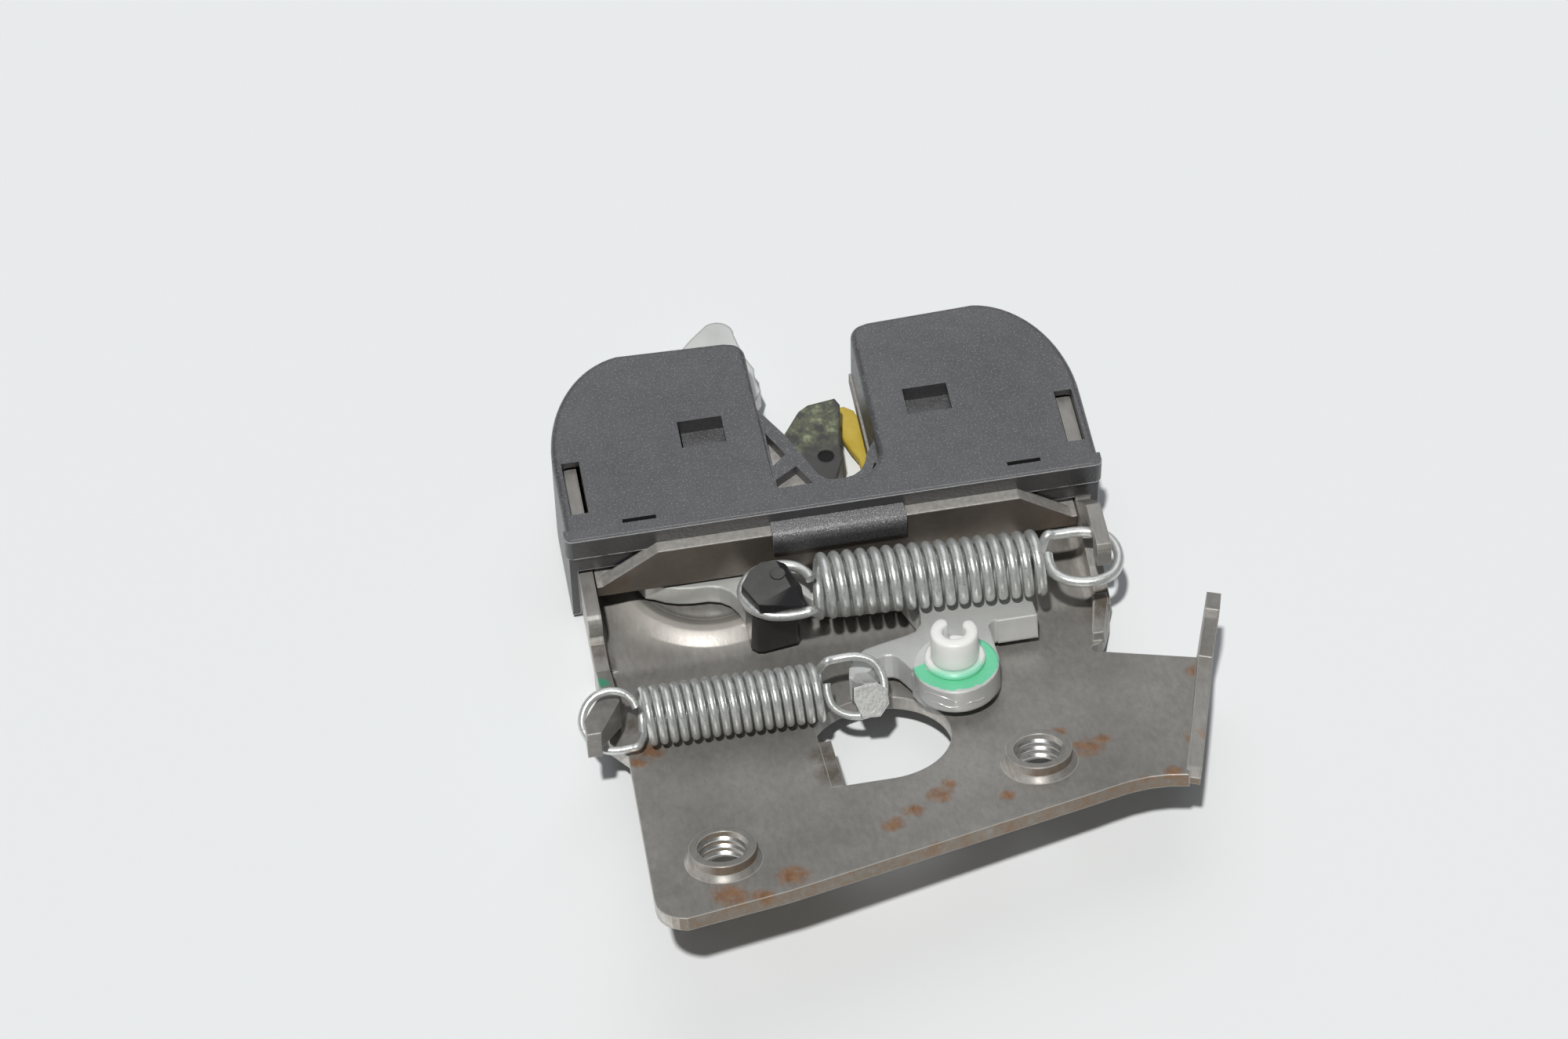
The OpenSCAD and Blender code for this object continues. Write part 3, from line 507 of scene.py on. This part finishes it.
sleeve_plastic, shader = finish("sleeve plastic")
smears = grain(sleeve_plastic, 330, 5, 0.7)
grease = steps(sleeve_plastic, smears, (0.42, (0.058, 0.058, 0.056)), (0.56, (0.13, 0.14, 0.09)),
               (0.66, (0.27, 0.31, 0.19)))
greased = steps(sleeve_plastic, near(sleeve_plastic, grease_centre, grease_reach),
                (0.1, 0), (0.5, 1))
skin = blend_colours(sleeve_plastic, greased, (0.062, 0.061, 0.060), grease)
join(sleeve_plastic, skin, shader.inputs["Base Color"])
join(sleeve_plastic, steps(sleeve_plastic, smears, (0.3, 0.6), (0.7, 0.3)),
     shader.inputs["Roughness"])
bump(sleeve_plastic, shader, smears, 0.2, 0.6)
wear("jaw_sleeve", sleeve_plastic)
# This near-black disc in the sleeve's hole stands in for the hole's shadow: painted shade.
hole_shade_paint, shader = finish("painted hole shade", roughness=0.8)
join(hole_shade_paint, steps(hole_shade_paint, grain(hole_shade_paint, 500), (0.3, 0.003), (0.7, 0.006)),
     shader.inputs["Base Color"])
new_piece("hole_shade_disc", disc(hole_r, hole_shade_thick, hole_shade_centre), hole_shade_paint, "claw")

# The knob is moulded in black plastic over the claw's tail, and holds the loop of the
# claw's spring in its groove. Its top is dusty, its sides are glossy, and the round mark
# on top is where it was cut from the mould's channel.
gate_r = 1.35
gate_thick = 0.5
gate_centre = (-12.4, 3.7 - bend_to_pivots, 19.95)


def rounded(node_name, name, width, segments, material, body, cut_below=None):
    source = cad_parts[node_name]
    mesh = bmesh.new()
    mesh.from_mesh(source.data)
    bmesh.ops.remove_doubles(mesh, verts=mesh.verts, dist=0.002 * mm)
    if cut_below:
        bmesh.ops.bisect_plane(mesh, geom=mesh.verts[:] + mesh.edges[:] + mesh.faces[:],
                               plane_co=(0, 0, cut_below * mm), plane_no=(0, 0, -1),
                               clear_outer=True)
        bmesh.ops.holes_fill(mesh, edges=[edge for edge in mesh.edges if edge.is_boundary])
    bmesh.ops.dissolve_limit(mesh, angle_limit=math.radians(1.5), verts=mesh.verts,
                             edges=mesh.edges)
    rims = [edge for edge in mesh.edges if len(edge.link_faces) == 2
            and edge.calc_face_angle(0) > math.radians(28)]
    round_off(mesh, rims, width, segments)
    piece = new_piece(name, mesh, material, body, 40)
    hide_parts(node_name)


knob_plastic, shader = finish("knob plastic")
fine = grain(knob_plastic, 1500, 3, 0.6)
dust = grain(knob_plastic, 120, 5, 0.7)
level = part(knob_plastic, true_normal(knob_plastic), "Z")
top_skin = steps(knob_plastic, dust, (0.35, (0.062, 0.062, 0.061)), (0.75, (0.105, 0.103, 0.10)))
skin = blend_colours(knob_plastic, steps(knob_plastic, level, (0.93, 0), (0.98, 1)),
                     (0.022, 0.022, 0.024), top_skin)
join(knob_plastic, skin, shader.inputs["Base Color"])
join(knob_plastic, steps(knob_plastic, level, (0.93, 0.24), (0.98, 0.46)),
     shader.inputs["Roughness"])
bump(knob_plastic, shader, fine, 0.05)
rounded("tail_knob", "knob", 0.45, 3, knob_plastic, "claw")
mesh = disc(gate_r, gate_thick, gate_centre)
top_ring = [edge for edge in mesh.edges if min(vert.co.z for vert in edge.verts) > 20 * mm]
round_off(mesh, top_ring, 0.12, 2)
new_piece("knob_gate", mesh, knob_plastic, "claw")

# The lever is die cast in zinc. Its skin is a light satin grey, the head of its hook is
# worn darker, an arc of green paint on the boss marks the part as tested, and the
# casting left three fine ridges on the boss's front.
eye_seat = on_plate(14.7, 22.3, 8.1)
eye_reach = 10
hook_centre = on_plate(-1.8, 28, 8)
hook_reach = 6.5
paint_slant = 0.342
paint_end = eye_seat[1] - paint_slant * eye_seat[0]
ridge_wire = 0.26
ridge_paths = {
    "cast_ridge_upper": [(7.4, -43.7, 14.0), (8.6, -46.35, 16.5), (10.15, -47.9, 17.25),
                         (12.0, -49.0, 17.1), (13.1, -49.46, 16.5), (13.8, -49.55, 16.8)],
    "cast_ridge_lower": [(9.3, -47.52, 15.0), (10.5, -48.5, 15.5), (11.6, -49.14, 15.25),
                         (12.4, -49.49, 15.2), (13.65, -49.75, 15.4)],
    "cast_ridge_right": [(15.05, -49.77, 15.7), (15.9, -49.6, 16.1), (17.1, -49.36, 15.75),
                         (18.3, -48.84, 15.7)]}

lever_zinc, shader = finish("lever zinc", metallic=0.3)
clouds = grain(lever_zinc, 120, 5, 0.6)
sand = grain(lever_zinc, 1600, 2, 0.6)
chips = grain(lever_zinc, 500, 4, 0.7)
skin = steps(lever_zinc, clouds, (0.3, (0.56, 0.57, 0.56)), (0.7, (0.68, 0.69, 0.68)))
hook_head = steps(lever_zinc, near(lever_zinc, hook_centre, hook_reach), (0.1, 0), (0.35, 0.8))
worn = steps(lever_zinc, chips, (0.3, (0.24, 0.25, 0.24)), (0.7, (0.42, 0.43, 0.42)))
skin = blend_colours(lever_zinc, hook_head, skin, worn)
# Edges are painted much lighter, partly bare zinc and partly a painted highlight.
skin = blend_colours(lever_zinc, edge_wear_and_highlight(lever_zinc, 0.35), skin, (0.80, 0.81, 0.80))
inside_rim = between(lever_zinc, near(lever_zinc, eye_seat, eye_reach), 0.21, 0.36)
painted = steps(lever_zinc, reckon(lever_zinc, "ADD", inside_rim, chips), (0.66, 0), (0.76, 1))
paint_line = along(lever_zinc, object_place(lever_zinc), (-paint_slant, 1, 0))
faces_up = part(lever_zinc, true_normal(lever_zinc), "Z")
for share in (between(lever_zinc, paint_line, (paint_end + 2.4) * mm, (paint_end + 1.9) * mm),
              steps(lever_zinc, faces_up, (0.88, 0), (0.94, 1)),
              steps(lever_zinc, chips, (0.30, 0), (0.38, 1))):
    painted = reckon(lever_zinc, "MULTIPLY", painted, share)
skin = blend_colours(lever_zinc, painted, skin, (0.19, 0.70, 0.42))
join(lever_zinc, skin, shader.inputs["Base Color"])
join(lever_zinc, steps(lever_zinc, sand, (0.2, 0.34), (0.8, 0.5)), shader.inputs["Roughness"])
bump(lever_zinc, shader, sand, 0.05, 0.6)
wear("pawl_lever", lever_zinc)


def smooth_bends(points, parts=8):
    ends = [points[0] * 2 - points[1]] + points + [points[-1] * 2 - points[-2]]
    bends = []
    for before, first, second, after in zip(ends, ends[1:], ends[2:], ends[3:]):
        for i in range(parts):
            t = i / parts
            bends.append(first + (second - before) * (t / 2)
                         + (before * 2 - first * 5 + second * 4 - after) * (t * t / 2)
                         + (first * 3 - before - second * 3 + after) * (t ** 3 / 2))
    return bends + [points[-1]]


def wire_along(name, points, wire, material, body):
    curve = bpy.data.curves.new(name + " wire", "CURVE")
    curve.dimensions = "3D"
    curve.bevel_depth = wire / 2 * mm
    curve.bevel_resolution = 4
    curve.use_fill_caps = True
    spline = curve.splines.new("POLY")
    spline.points.add(len(points) - 1)
    for spline_point, point in zip(spline.points, points):
        spline_point.co = (*(point * mm), 1)
    wire_object = bpy.data.objects.new(name + " wire", curve)
    data = bpy.data.meshes.new_from_object(wire_object)
    mesh = bmesh.new()
    mesh.from_mesh(data)
    bmesh.ops.remove_doubles(mesh, verts=mesh.verts, dist=0.001 * mm)
    bmesh.ops.recalc_face_normals(mesh, faces=mesh.faces)
    bpy.data.objects.remove(wire_object)
    bpy.data.curves.remove(curve)
    bpy.data.meshes.remove(data)
    return new_piece(name, mesh, material, body, 50)


# The ridges' zinc is painted lighter than the lever's: a painted highlight.
lit_ridge_zinc, shader = finish("lit ridge zinc", metallic=0.5, roughness=0.24)
clouds = grain(lit_ridge_zinc, 300, 3, 0.6)
skin = steps(lit_ridge_zinc, clouds, (0.3, (0.66, 0.67, 0.66)), (0.7, (0.86, 0.87, 0.86)))
join(lit_ridge_zinc, skin, shader.inputs["Base Color"])
bump(lit_ridge_zinc, shader, clouds, 0.03)
for name, points in ridge_paths.items():
    path = smooth_bends([Vector(point) for point in points], 5)
    wire_along(name, path, ridge_wire, lit_ridge_zinc, "lever")

# The rod clip is moulded in natural white plastic. It stands on a thin collar, and the
# front of the collar caught the same green paint as the boss. The sleeve above is slotted
# for the rod, and the slot's two sides are rounded.
eye_lean = math.radians(10)
eye = Matrix.Translation(eye_seat * mm) @ Matrix.Rotation(-eye_lean, 4, "X")
seat_level = eye_seat[1] * math.sin(eye_lean) + eye_seat[2] * math.cos(eye_lean)
stem_r = 2.5
stem_low = -6.2
collar_r = 5.3
collar_top = 1.2
sleeve_r = 4.15
sleeve_sink = 0.2
bore_r = 1.95
clip_top = 7.0
clip_slot = 2.5
slot_aim = 74

clip_plastic, shader = finish("clip plastic", roughness=0.3)
shader.inputs["Subsurface Weight"].default_value = 0.6
shader.inputs["Subsurface Scale"].default_value = 0.003
shader.inputs["Subsurface Radius"].default_value = (0.8, 0.8, 0.8)
cloudy = grain(clip_plastic, 200, 3, 0.5)
skin = steps(clip_plastic, cloudy, (0.3, (0.88, 0.885, 0.86)), (0.7, (0.93, 0.935, 0.92)))
clip_way = (0, math.sin(eye_lean), math.cos(eye_lean))
on_collar = between(clip_plastic, along(clip_plastic, object_place(clip_plastic), clip_way),
                    (seat_level + 1.5) * mm, (seat_level + 1.1) * mm)
in_front = between(clip_plastic, part(clip_plastic, object_place(clip_plastic), "Y"),
                   (eye_seat[1] - 1.0) * mm, (eye_seat[1] - 3.2) * mm)
painted = reckon(clip_plastic, "MULTIPLY", on_collar, in_front)
skin = blend_colours(clip_plastic, painted, skin, (0.30, 0.80, 0.55))
join(clip_plastic, skin, shader.inputs["Base Color"])
bump(clip_plastic, shader, cloudy, 0.02)


def bow(centre_x, centre_y, reach_x, reach_y, first, last, count):
    angles = [math.radians(first + (last - first) * i / count) for i in range(count + 1)]
    return [(centre_x + reach_x * math.cos(a), centre_y + reach_y * math.sin(a)) for a in angles]


mid_r = (sleeve_r + bore_r) / 2
horn_r = (sleeve_r - bore_r) / 2
slot_angle = math.degrees(math.asin((clip_slot / 2 + horn_r) / mid_r))


def horn(aimed, first):
    x, y = mid_r * math.cos(math.radians(aimed)), mid_r * math.sin(math.radians(aimed))
    return bow(x, y, horn_r, horn_r, first, first + 180, 8)[1:-1]


start = slot_aim + slot_angle
end = slot_aim - slot_angle + 360
rim = (bow(0, 0, sleeve_r, sleeve_r, start, end, 32) + horn(end, end)
       + bow(0, 0, bore_r, bore_r, end, start, 32) + horn(start, start - 180))
mesh = bmesh.new()
sleeve_top = prism(mesh, rim, collar_top - sleeve_sink, clip_top, front=0)
top_edges = [edge for edge in mesh.edges if sleeve_top.issuperset(edge.verts)]
round_off(mesh, top_edges, 0.55, 3, clamp=False)
profile = [(0, stem_low), (stem_r, stem_low), (stem_r, 0), (collar_r - 0.2, 0), (collar_r, 0.2),
           (collar_r, collar_top - 0.35), (collar_r - 0.35, collar_top), (sleeve_r, collar_top),
           (0, collar_top)]
chain = [mesh.verts.new(Vector((r, 0, z)) * mm) for r, z in profile]
links = [mesh.edges.new(pair) for pair in zip(chain, chain[1:])]
bmesh.ops.spin(mesh, geom=chain + links, cent=(0, 0, 0), axis=(0, 0, 1), angle=math.tau, steps=56,
               use_merge=True)
bmesh.ops.remove_doubles(mesh, verts=mesh.verts, dist=0.001 * mm)
bmesh.ops.recalc_face_normals(mesh, faces=mesh.faces)
bmesh.ops.transform(mesh, matrix=eye, verts=mesh.verts)
clip = new_piece("clip_eye", mesh, clip_plastic, "clip", 40)
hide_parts("rod_clip")

# Both springs are wound from hard steel wire and zinc plated. Each end of a coil is bent
# out to a flat loop. One loops from the knob to the right side of the frame, the other
# from the left side to the lever's hook.
coil_turns = 17.5
claw_wire = 1.9
claw_coil_d = 11.9
pawl_wire = 1.5
pawl_coil_d = 10.6
loop_r = 5
pawl_left_scale = 0.78
pawl_right_scale = 0.80
left_loop = [(-1.2, -5.3), (-3, -5.6), (-6, -5.7), (-9, -5.1), (-11.6, -3.2), (-12.9, 0),
             (-11.8, 3), (-9.3, 5), (-6, 5.6), (-3, 4.9), (-1.2, 3.2), (-0.6, 1.8)]
right_loop = [(1.2, 5.4), (3, 5.7), (8, 5.7), (11.8, 4), (13.2, 0), (11.8, -4), (8, -5.5),
              (4, -4.9), (1.5, -3), (0.8, -0.6), (0.8, 1.4)]

spring_zinc, shader = finish("spring zinc", metallic=0.7)
clouds = grain(spring_zinc, 700, 3, 0.6)
drawn = grain(spring_zinc, 2600, 2, 0.6)
skin = steps(spring_zinc, clouds, (0.3, (0.66, 0.68, 0.67)), (0.7, (0.84, 0.86, 0.84)))
join(spring_zinc, skin, shader.inputs["Base Color"])
join(spring_zinc, steps(spring_zinc, drawn, (0.3, 0.26), (0.7, 0.42)), shader.inputs["Roughness"])
bump(spring_zinc, shader, drawn, 0.02)


def spring_path(start, end, radius, side, left, right, left_scale=1, right_scale=1):
    way = (end - start).normalized()
    across = (side - side.dot(way) * way).normalized()
    third = way.cross(across)
    count = round(28 * coil_turns)
    coil = []
    for i in range(3, count - 2):
        a = math.pi + math.tau * coil_turns * i / count
        coil.append(start + (end - start) * (i / count)
                    + (across * math.cos(a) + third * math.sin(a)) * radius)
    left_bends = [start + way * (reach * left_scale) + across * (aside * radius / loop_r)
                  for reach, aside in reversed(left)]
    right_bends = [end + way * (reach * right_scale) + across * (aside * radius / loop_r)
                   for reach, aside in right]
    return (smooth_bends(left_bends + [coil[0]]) + coil[1:-1]
            + smooth_bends([coil[-1]] + right_bends))


claw_path = spring_path(Vector((-6.0, 2.3 - bend_to_pivots, 16.6)),
                        Vector((34.4, 0.2 - bend_to_pivots, 16.6)),
                        (claw_coil_d - claw_wire) / 2, Vector((0, 1, 0)), left_loop, right_loop)
claw_coil = wire_along("claw_coil", claw_path, claw_wire, spring_zinc, None)
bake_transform(claw_coil)
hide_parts("claw_spring")
pawl_side = plate.to_3x3() @ Vector((0, 0.54, 0.84))
pawl_path = spring_path(on_plate(-40.5, 22.4, 6.3), on_plate(-8.6, 23.1, 6.3),
                        (pawl_coil_d - pawl_wire) / 2, pawl_side, left_loop, right_loop,
                        pawl_left_scale, pawl_right_scale)
pawl_coil = wire_along("pawl_coil", pawl_path, pawl_wire, spring_zinc, None)
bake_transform(pawl_coil)
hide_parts("pawl_spring")

# The cover is one shell moulded in charcoal plastic with a fine mottled grain, and clips
# over the steel. Its rim is well rounded, a lip runs along the front, and a web with a
# little truss closes the bottom of the striker's slot. Its front faces are painted darker
# as painted shade, and the lip's edges and a line below them are painted lighter, partly
# rubbed wear and partly painted highlight.
cover_half_w = 47.6
cover_back = 56.8
cover_front = 15.8
corner_w = 16.6
corner_y = 33.2
slot_half = 9.7
slot_bottom = 20.6
shell = 1.3
shell_low = 1.4
top_round = 2.6
lip_out = 0.65
lip_side = 0.45
lip_back = 2.3
lip_deep = 4.9
web_top = cover_top_z - 2.4
web_thick = 2.3
window_x = 20.4
side_slot_x = 44.5
front_slot_x = 34.4
bright_line_z = 17.78

cover_plastic, shader = finish("cover plastic")
shader.inputs["Specular IOR Level"].default_value = 1.0
mottle = grain(cover_plastic, 1500, 4, 0.65)
clouds = grain(cover_plastic, 35, 4, 0.6)
specks = grain(cover_plastic, 3200, 1, 0.4)
blotches = grain(cover_plastic, 330, 4, 0.7)
skin = steps(cover_plastic, clouds, (0.3, (0.060, 0.061, 0.065)), (0.7, (0.086, 0.087, 0.092)))
skin = blend_colours(cover_plastic, 0.22, skin,
                     steps(cover_plastic, blotches, (0.3, 0.18), (0.7, 0.82)), "OVERLAY")
skin = blend_colours(cover_plastic, steps(cover_plastic, specks, (0.56, 0), (0.72, 0.55)), skin,
                     (0.27, 0.27, 0.275))
# Faces turned to the front are painted darker: painted shade.
front_wall_shade = between(cover_plastic, part(cover_plastic, true_normal(cover_plastic), "Y"),
                     -0.6, -0.95)
skin = blend_colours(cover_plastic, front_wall_shade, skin, (0.030, 0.030, 0.032))
# Along the front, the lip's edges and a line below them are painted lighter, partly rubbed wear and
# partly a painted highlight.
at_front = between(cover_plastic, part(cover_plastic, object_place(cover_plastic), "Y"),
                   -5.9 * mm, -6.3 * mm)
worn_edge_highlight = steps(cover_plastic, edge_wear_and_highlight(cover_plastic, 0.26), (0.08, 0), (0.35, 1))
over_line = reckon(cover_plastic, "SUBTRACT",
                   part(cover_plastic, object_place(cover_plastic), "Z"), bright_line_z * mm)
on_line = between(cover_plastic, reckon(cover_plastic, "ABSOLUTE", over_line), 0.2 * mm, 0.1 * mm)
scratch_and_highlight_line = reckon(cover_plastic, "MULTIPLY", on_line,
                   steps(cover_plastic, blotches, (0.42, 0.1), (0.55, 0.9)))
worn = reckon(cover_plastic, "MULTIPLY",
              reckon(cover_plastic, "MAXIMUM", worn_edge_highlight, scratch_and_highlight_line), at_front)
skin = blend_colours(cover_plastic, worn, skin, (0.50, 0.50, 0.51))
join(cover_plastic, skin, shader.inputs["Base Color"])
join(cover_plastic, steps(cover_plastic, mottle, (0.3, 0.46), (0.7, 0.28)),
     shader.inputs["Roughness"])
bump(cover_plastic, shader, mottle, 0.09)


def block(mesh, x0, x1, y0, y1, z0, z1):
    prism(mesh, [(x0, y0), (x1, y0), (x1, y1), (x0, y1)], z0, z1)


def tool_object(mesh):
    bmesh.ops.recalc_face_normals(mesh, faces=mesh.faces)
    bmesh.ops.triangulate(mesh, faces=mesh.faces)
    data = bpy.data.meshes.new("tool")
    mesh.to_mesh(data)
    mesh.free()
    item = bpy.data.objects.new("tool", data)
    bpy.context.scene.collection.objects.link(item)
    return item


def carve(body, mesh, operation):
    tool = tool_object(mesh)
    plain = bmesh.new()
    plain.from_mesh(body.data)
    bmesh.ops.triangulate(plain, faces=plain.faces)
    plain.to_mesh(body.data)
    plain.free()
    modifier = body.modifiers.new("carve", "BOOLEAN")
    modifier.operation = operation
    modifier.solver = "MANIFOLD"
    modifier.object = tool
    bpy.context.view_layer.update()
    evaluated = body.evaluated_get(bpy.context.evaluated_depsgraph_get())
    carved = bpy.data.meshes.new_from_object(evaluated)
    body.modifiers.clear()
    old = body.data
    body.data = carved
    bpy.data.meshes.remove(old)
    bpy.data.objects.remove(tool)


def cover_side(wall):
    return (bow(cover_half_w - corner_w, corner_y, corner_w - wall, cover_back - corner_y - wall,
                0, 84, 18) + [(13.1 + wall, cover_back - 0.8 - wall)])


def mirrored(points):
    return [(-x, y) for x, y in reversed(points)]


right_rim = cover_side(0) + bow(slot_half + 3, cover_back - 4, 3, 3, 96, 180, 6)
outline = ([(-cover_half_w, cover_front), (cover_half_w, cover_front)] + right_rim
           + bow(3.7, 26.6, 6, 6, 0, -90, 8) + [(-slot_half, slot_bottom)] + mirrored(right_rim))
mesh = bmesh.new()
top = prism(mesh, outline, shell_low, cover_top_z)
square_edges = [(y - bend_to_pivots) * mm for y in (cover_front, slot_bottom)]
rim_edges = [edge for edge in mesh.edges if top.issuperset(edge.verts)
             and all(max(abs(vert.co.y - y) for vert in edge.verts) > 0.01 * mm
                     for y in square_edges)]
bmesh.ops.recalc_face_normals(mesh, faces=mesh.faces)
round_off(mesh, rim_edges, top_round, 6)
cover_shell = tool_object(mesh)

inner_right = cover_side(shell) + [(slot_half + shell, cover_back - 4)]
inner = ([(-cover_half_w + shell, cover_front + shell), (cover_half_w - shell, cover_front + shell)]
         + inner_right + [(slot_half + shell, slot_bottom + 4),
                          (slot_half - 0.8, slot_bottom - shell),
                          (-slot_half - shell, slot_bottom - shell)] + mirrored(inner_right))
hollow = bmesh.new()
top = prism(hollow, inner, shell_low - 1, cover_top_z - shell)
bmesh.ops.recalc_face_normals(hollow, faces=hollow.faces)
round_off(hollow, [edge for edge in hollow.edges if top.issuperset(edge.verts)], 1.2, 2)
carve(cover_shell, hollow, "DIFFERENCE")

front_cut = bmesh.new()
block(front_cut, -46.05, 46.05, cover_front - 3, cover_front + shell + 0.01, -1, 13.6)
carve(cover_shell, front_cut, "DIFFERENCE")
claw_room = bmesh.new()
block(claw_room, -36, 26, slot_bottom - 4, 80, -2, 12.2)
carve(cover_shell, claw_room, "DIFFERENCE")
openings = bmesh.new()
for side in (-1, 1):
    for x, half, near_y, far_y in ((window_x, 4, 32.9, 38.9), (side_slot_x, 1.6, 21.4, 33.2),
                                   (front_slot_x, 3, 17.5, 18.8)):
        block(openings, side * x - half, side * x + half, near_y, far_y, cover_top_z - 4, 30)
carve(cover_shell, openings, "DIFFERENCE")

lip = bmesh.new()
block(lip, -cover_half_w - lip_side, cover_half_w + lip_side, cover_front - lip_out,
      cover_front + lip_back, cover_top_z - lip_deep, cover_top_z - 0.02)
ends = [edge for edge in lip.edges if abs(edge.verts[0].co.z - edge.verts[1].co.z) > mm
        and edge.verts[0].co.y < (cover_front - bend_to_pivots) * mm]
round_off(lip, ends, 1.3, 5)
bmesh.ops.recalc_face_normals(lip, faces=lip.faces)
lip_edges = [edge for edge in lip.edges if edge.calc_face_angle(0) > math.radians(40)]
round_off(lip, lip_edges, 0.15, 2)
carve(cover_shell, lip, "UNION")

web = bmesh.new()
prism(web, [(-slot_half - 0.6, slot_bottom - 0.5), (slot_half + 0.6, slot_bottom - 0.5),
            (slot_half + 0.6, 30.4), (slot_half, 30.4), (7.7, 27), (7.1, 25.3), (6.2, 23.9),
            (4.8, 23), (3.2, 22.65), (1.6, 22.6), (0, 22.9), (-1.4, 24.2), (-5.7, 34.3),
            (-slot_half, 41.4), (-slot_half - 0.6, 41.4)], web_top - web_thick, web_top)
carve(cover_shell, web, "UNION")
holes = bmesh.new()
for hole in ([(-9.1, 35.4), (-9.1, 27.6), (-6.4, 29.9)],
             [(-9.1, 24.4), (-9.1, 21.6), (-2.5, 22.2), (-5, 26.9)],
             [(7.5, 22.1), (7.9, 21.9), (9.2, 24.8), (8.8, 25.1)]):
    prism(holes, hole, web_top - 3, web_top + 1)
carve(cover_shell, holes, "DIFFERENCE")
mesh = bmesh.new()
mesh.from_mesh(cover_shell.data)
bpy.data.objects.remove(cover_shell)
moulding = new_piece("cover_moulding", mesh, cover_plastic, "frame", 32)
even = moulding.modifiers.new("even shading", "WEIGHTED_NORMAL")
even.keep_sharp = True
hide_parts("cover")

# Behind each window of the cover stands a snap tongue of the same plastic, which hooks
# the cover to the steel. It is a ledge with a wall at the back.
mesh = bmesh.new()
for side in (-1, 1):
    x = side * window_x
    block(mesh, x - 3.4, x + 4.6, 32.3, 39.6, cover_top_z - 5.0, cover_top_z - 3.4)
    block(mesh, x - 4.4, x + 4.9, 38.92, 40.0, cover_top_z - 4.3, cover_top_z - shell + 0.2)
bmesh.ops.recalc_face_normals(mesh, faces=mesh.faces)
new_piece("snap_tongues", mesh, cover_plastic, "frame")

# The steel that shows through the web's holes is a thin tab of the top plate, and it
# lies against the web's underside.
mesh = bmesh.new()
prism(mesh, [(-9.5, 20.8), (-1.9, 21.4), (-4.6, 27.6), (-6.1, 30.3), (-9.5, 36.4)],
      web_top - 3.0, web_top - web_thick)
bmesh.ops.recalc_face_normals(mesh, faces=mesh.faces)
new_piece("web_backing", mesh, plate_steel, "frame")

# The trim is pushed over the turned-up edge of the top plate, where a rod rubs. It is
# dark plastic whose grain glitters; its top is painted lighter and its lower part darker,
# as painted highlight and shade over its rounded profile.
trim_low = 15.2
trim_plastic, shader = finish("trim plastic", roughness=0.36)
glitter = grain(trim_plastic, 4600, 2, 0.8)
bright = steps(trim_plastic, glitter, (0.36, (0.10, 0.101, 0.105)), (0.55, (0.20, 0.202, 0.208)),
               (0.66, (0.60, 0.605, 0.61)))
trim_shaded_colour = steps(trim_plastic, glitter, (0.50, (0.035, 0.035, 0.038)), (0.70, (0.16, 0.162, 0.165)))
# Lighter towards the top and darker below: painted highlight and painted shade.
lit_top_share = between(trim_plastic, part(trim_plastic, object_place(trim_plastic), "Z"),
                     17.4 * mm, 20.0 * mm)
skin = blend_colours(trim_plastic, lit_top_share, trim_shaded_colour, bright)
join(trim_plastic, skin, shader.inputs["Base Color"])
bump(trim_plastic, shader, glitter, 0.06)
rounded("edge_clip", "trim", 0.7, 4, trim_plastic, "frame", cut_below=trim_low)
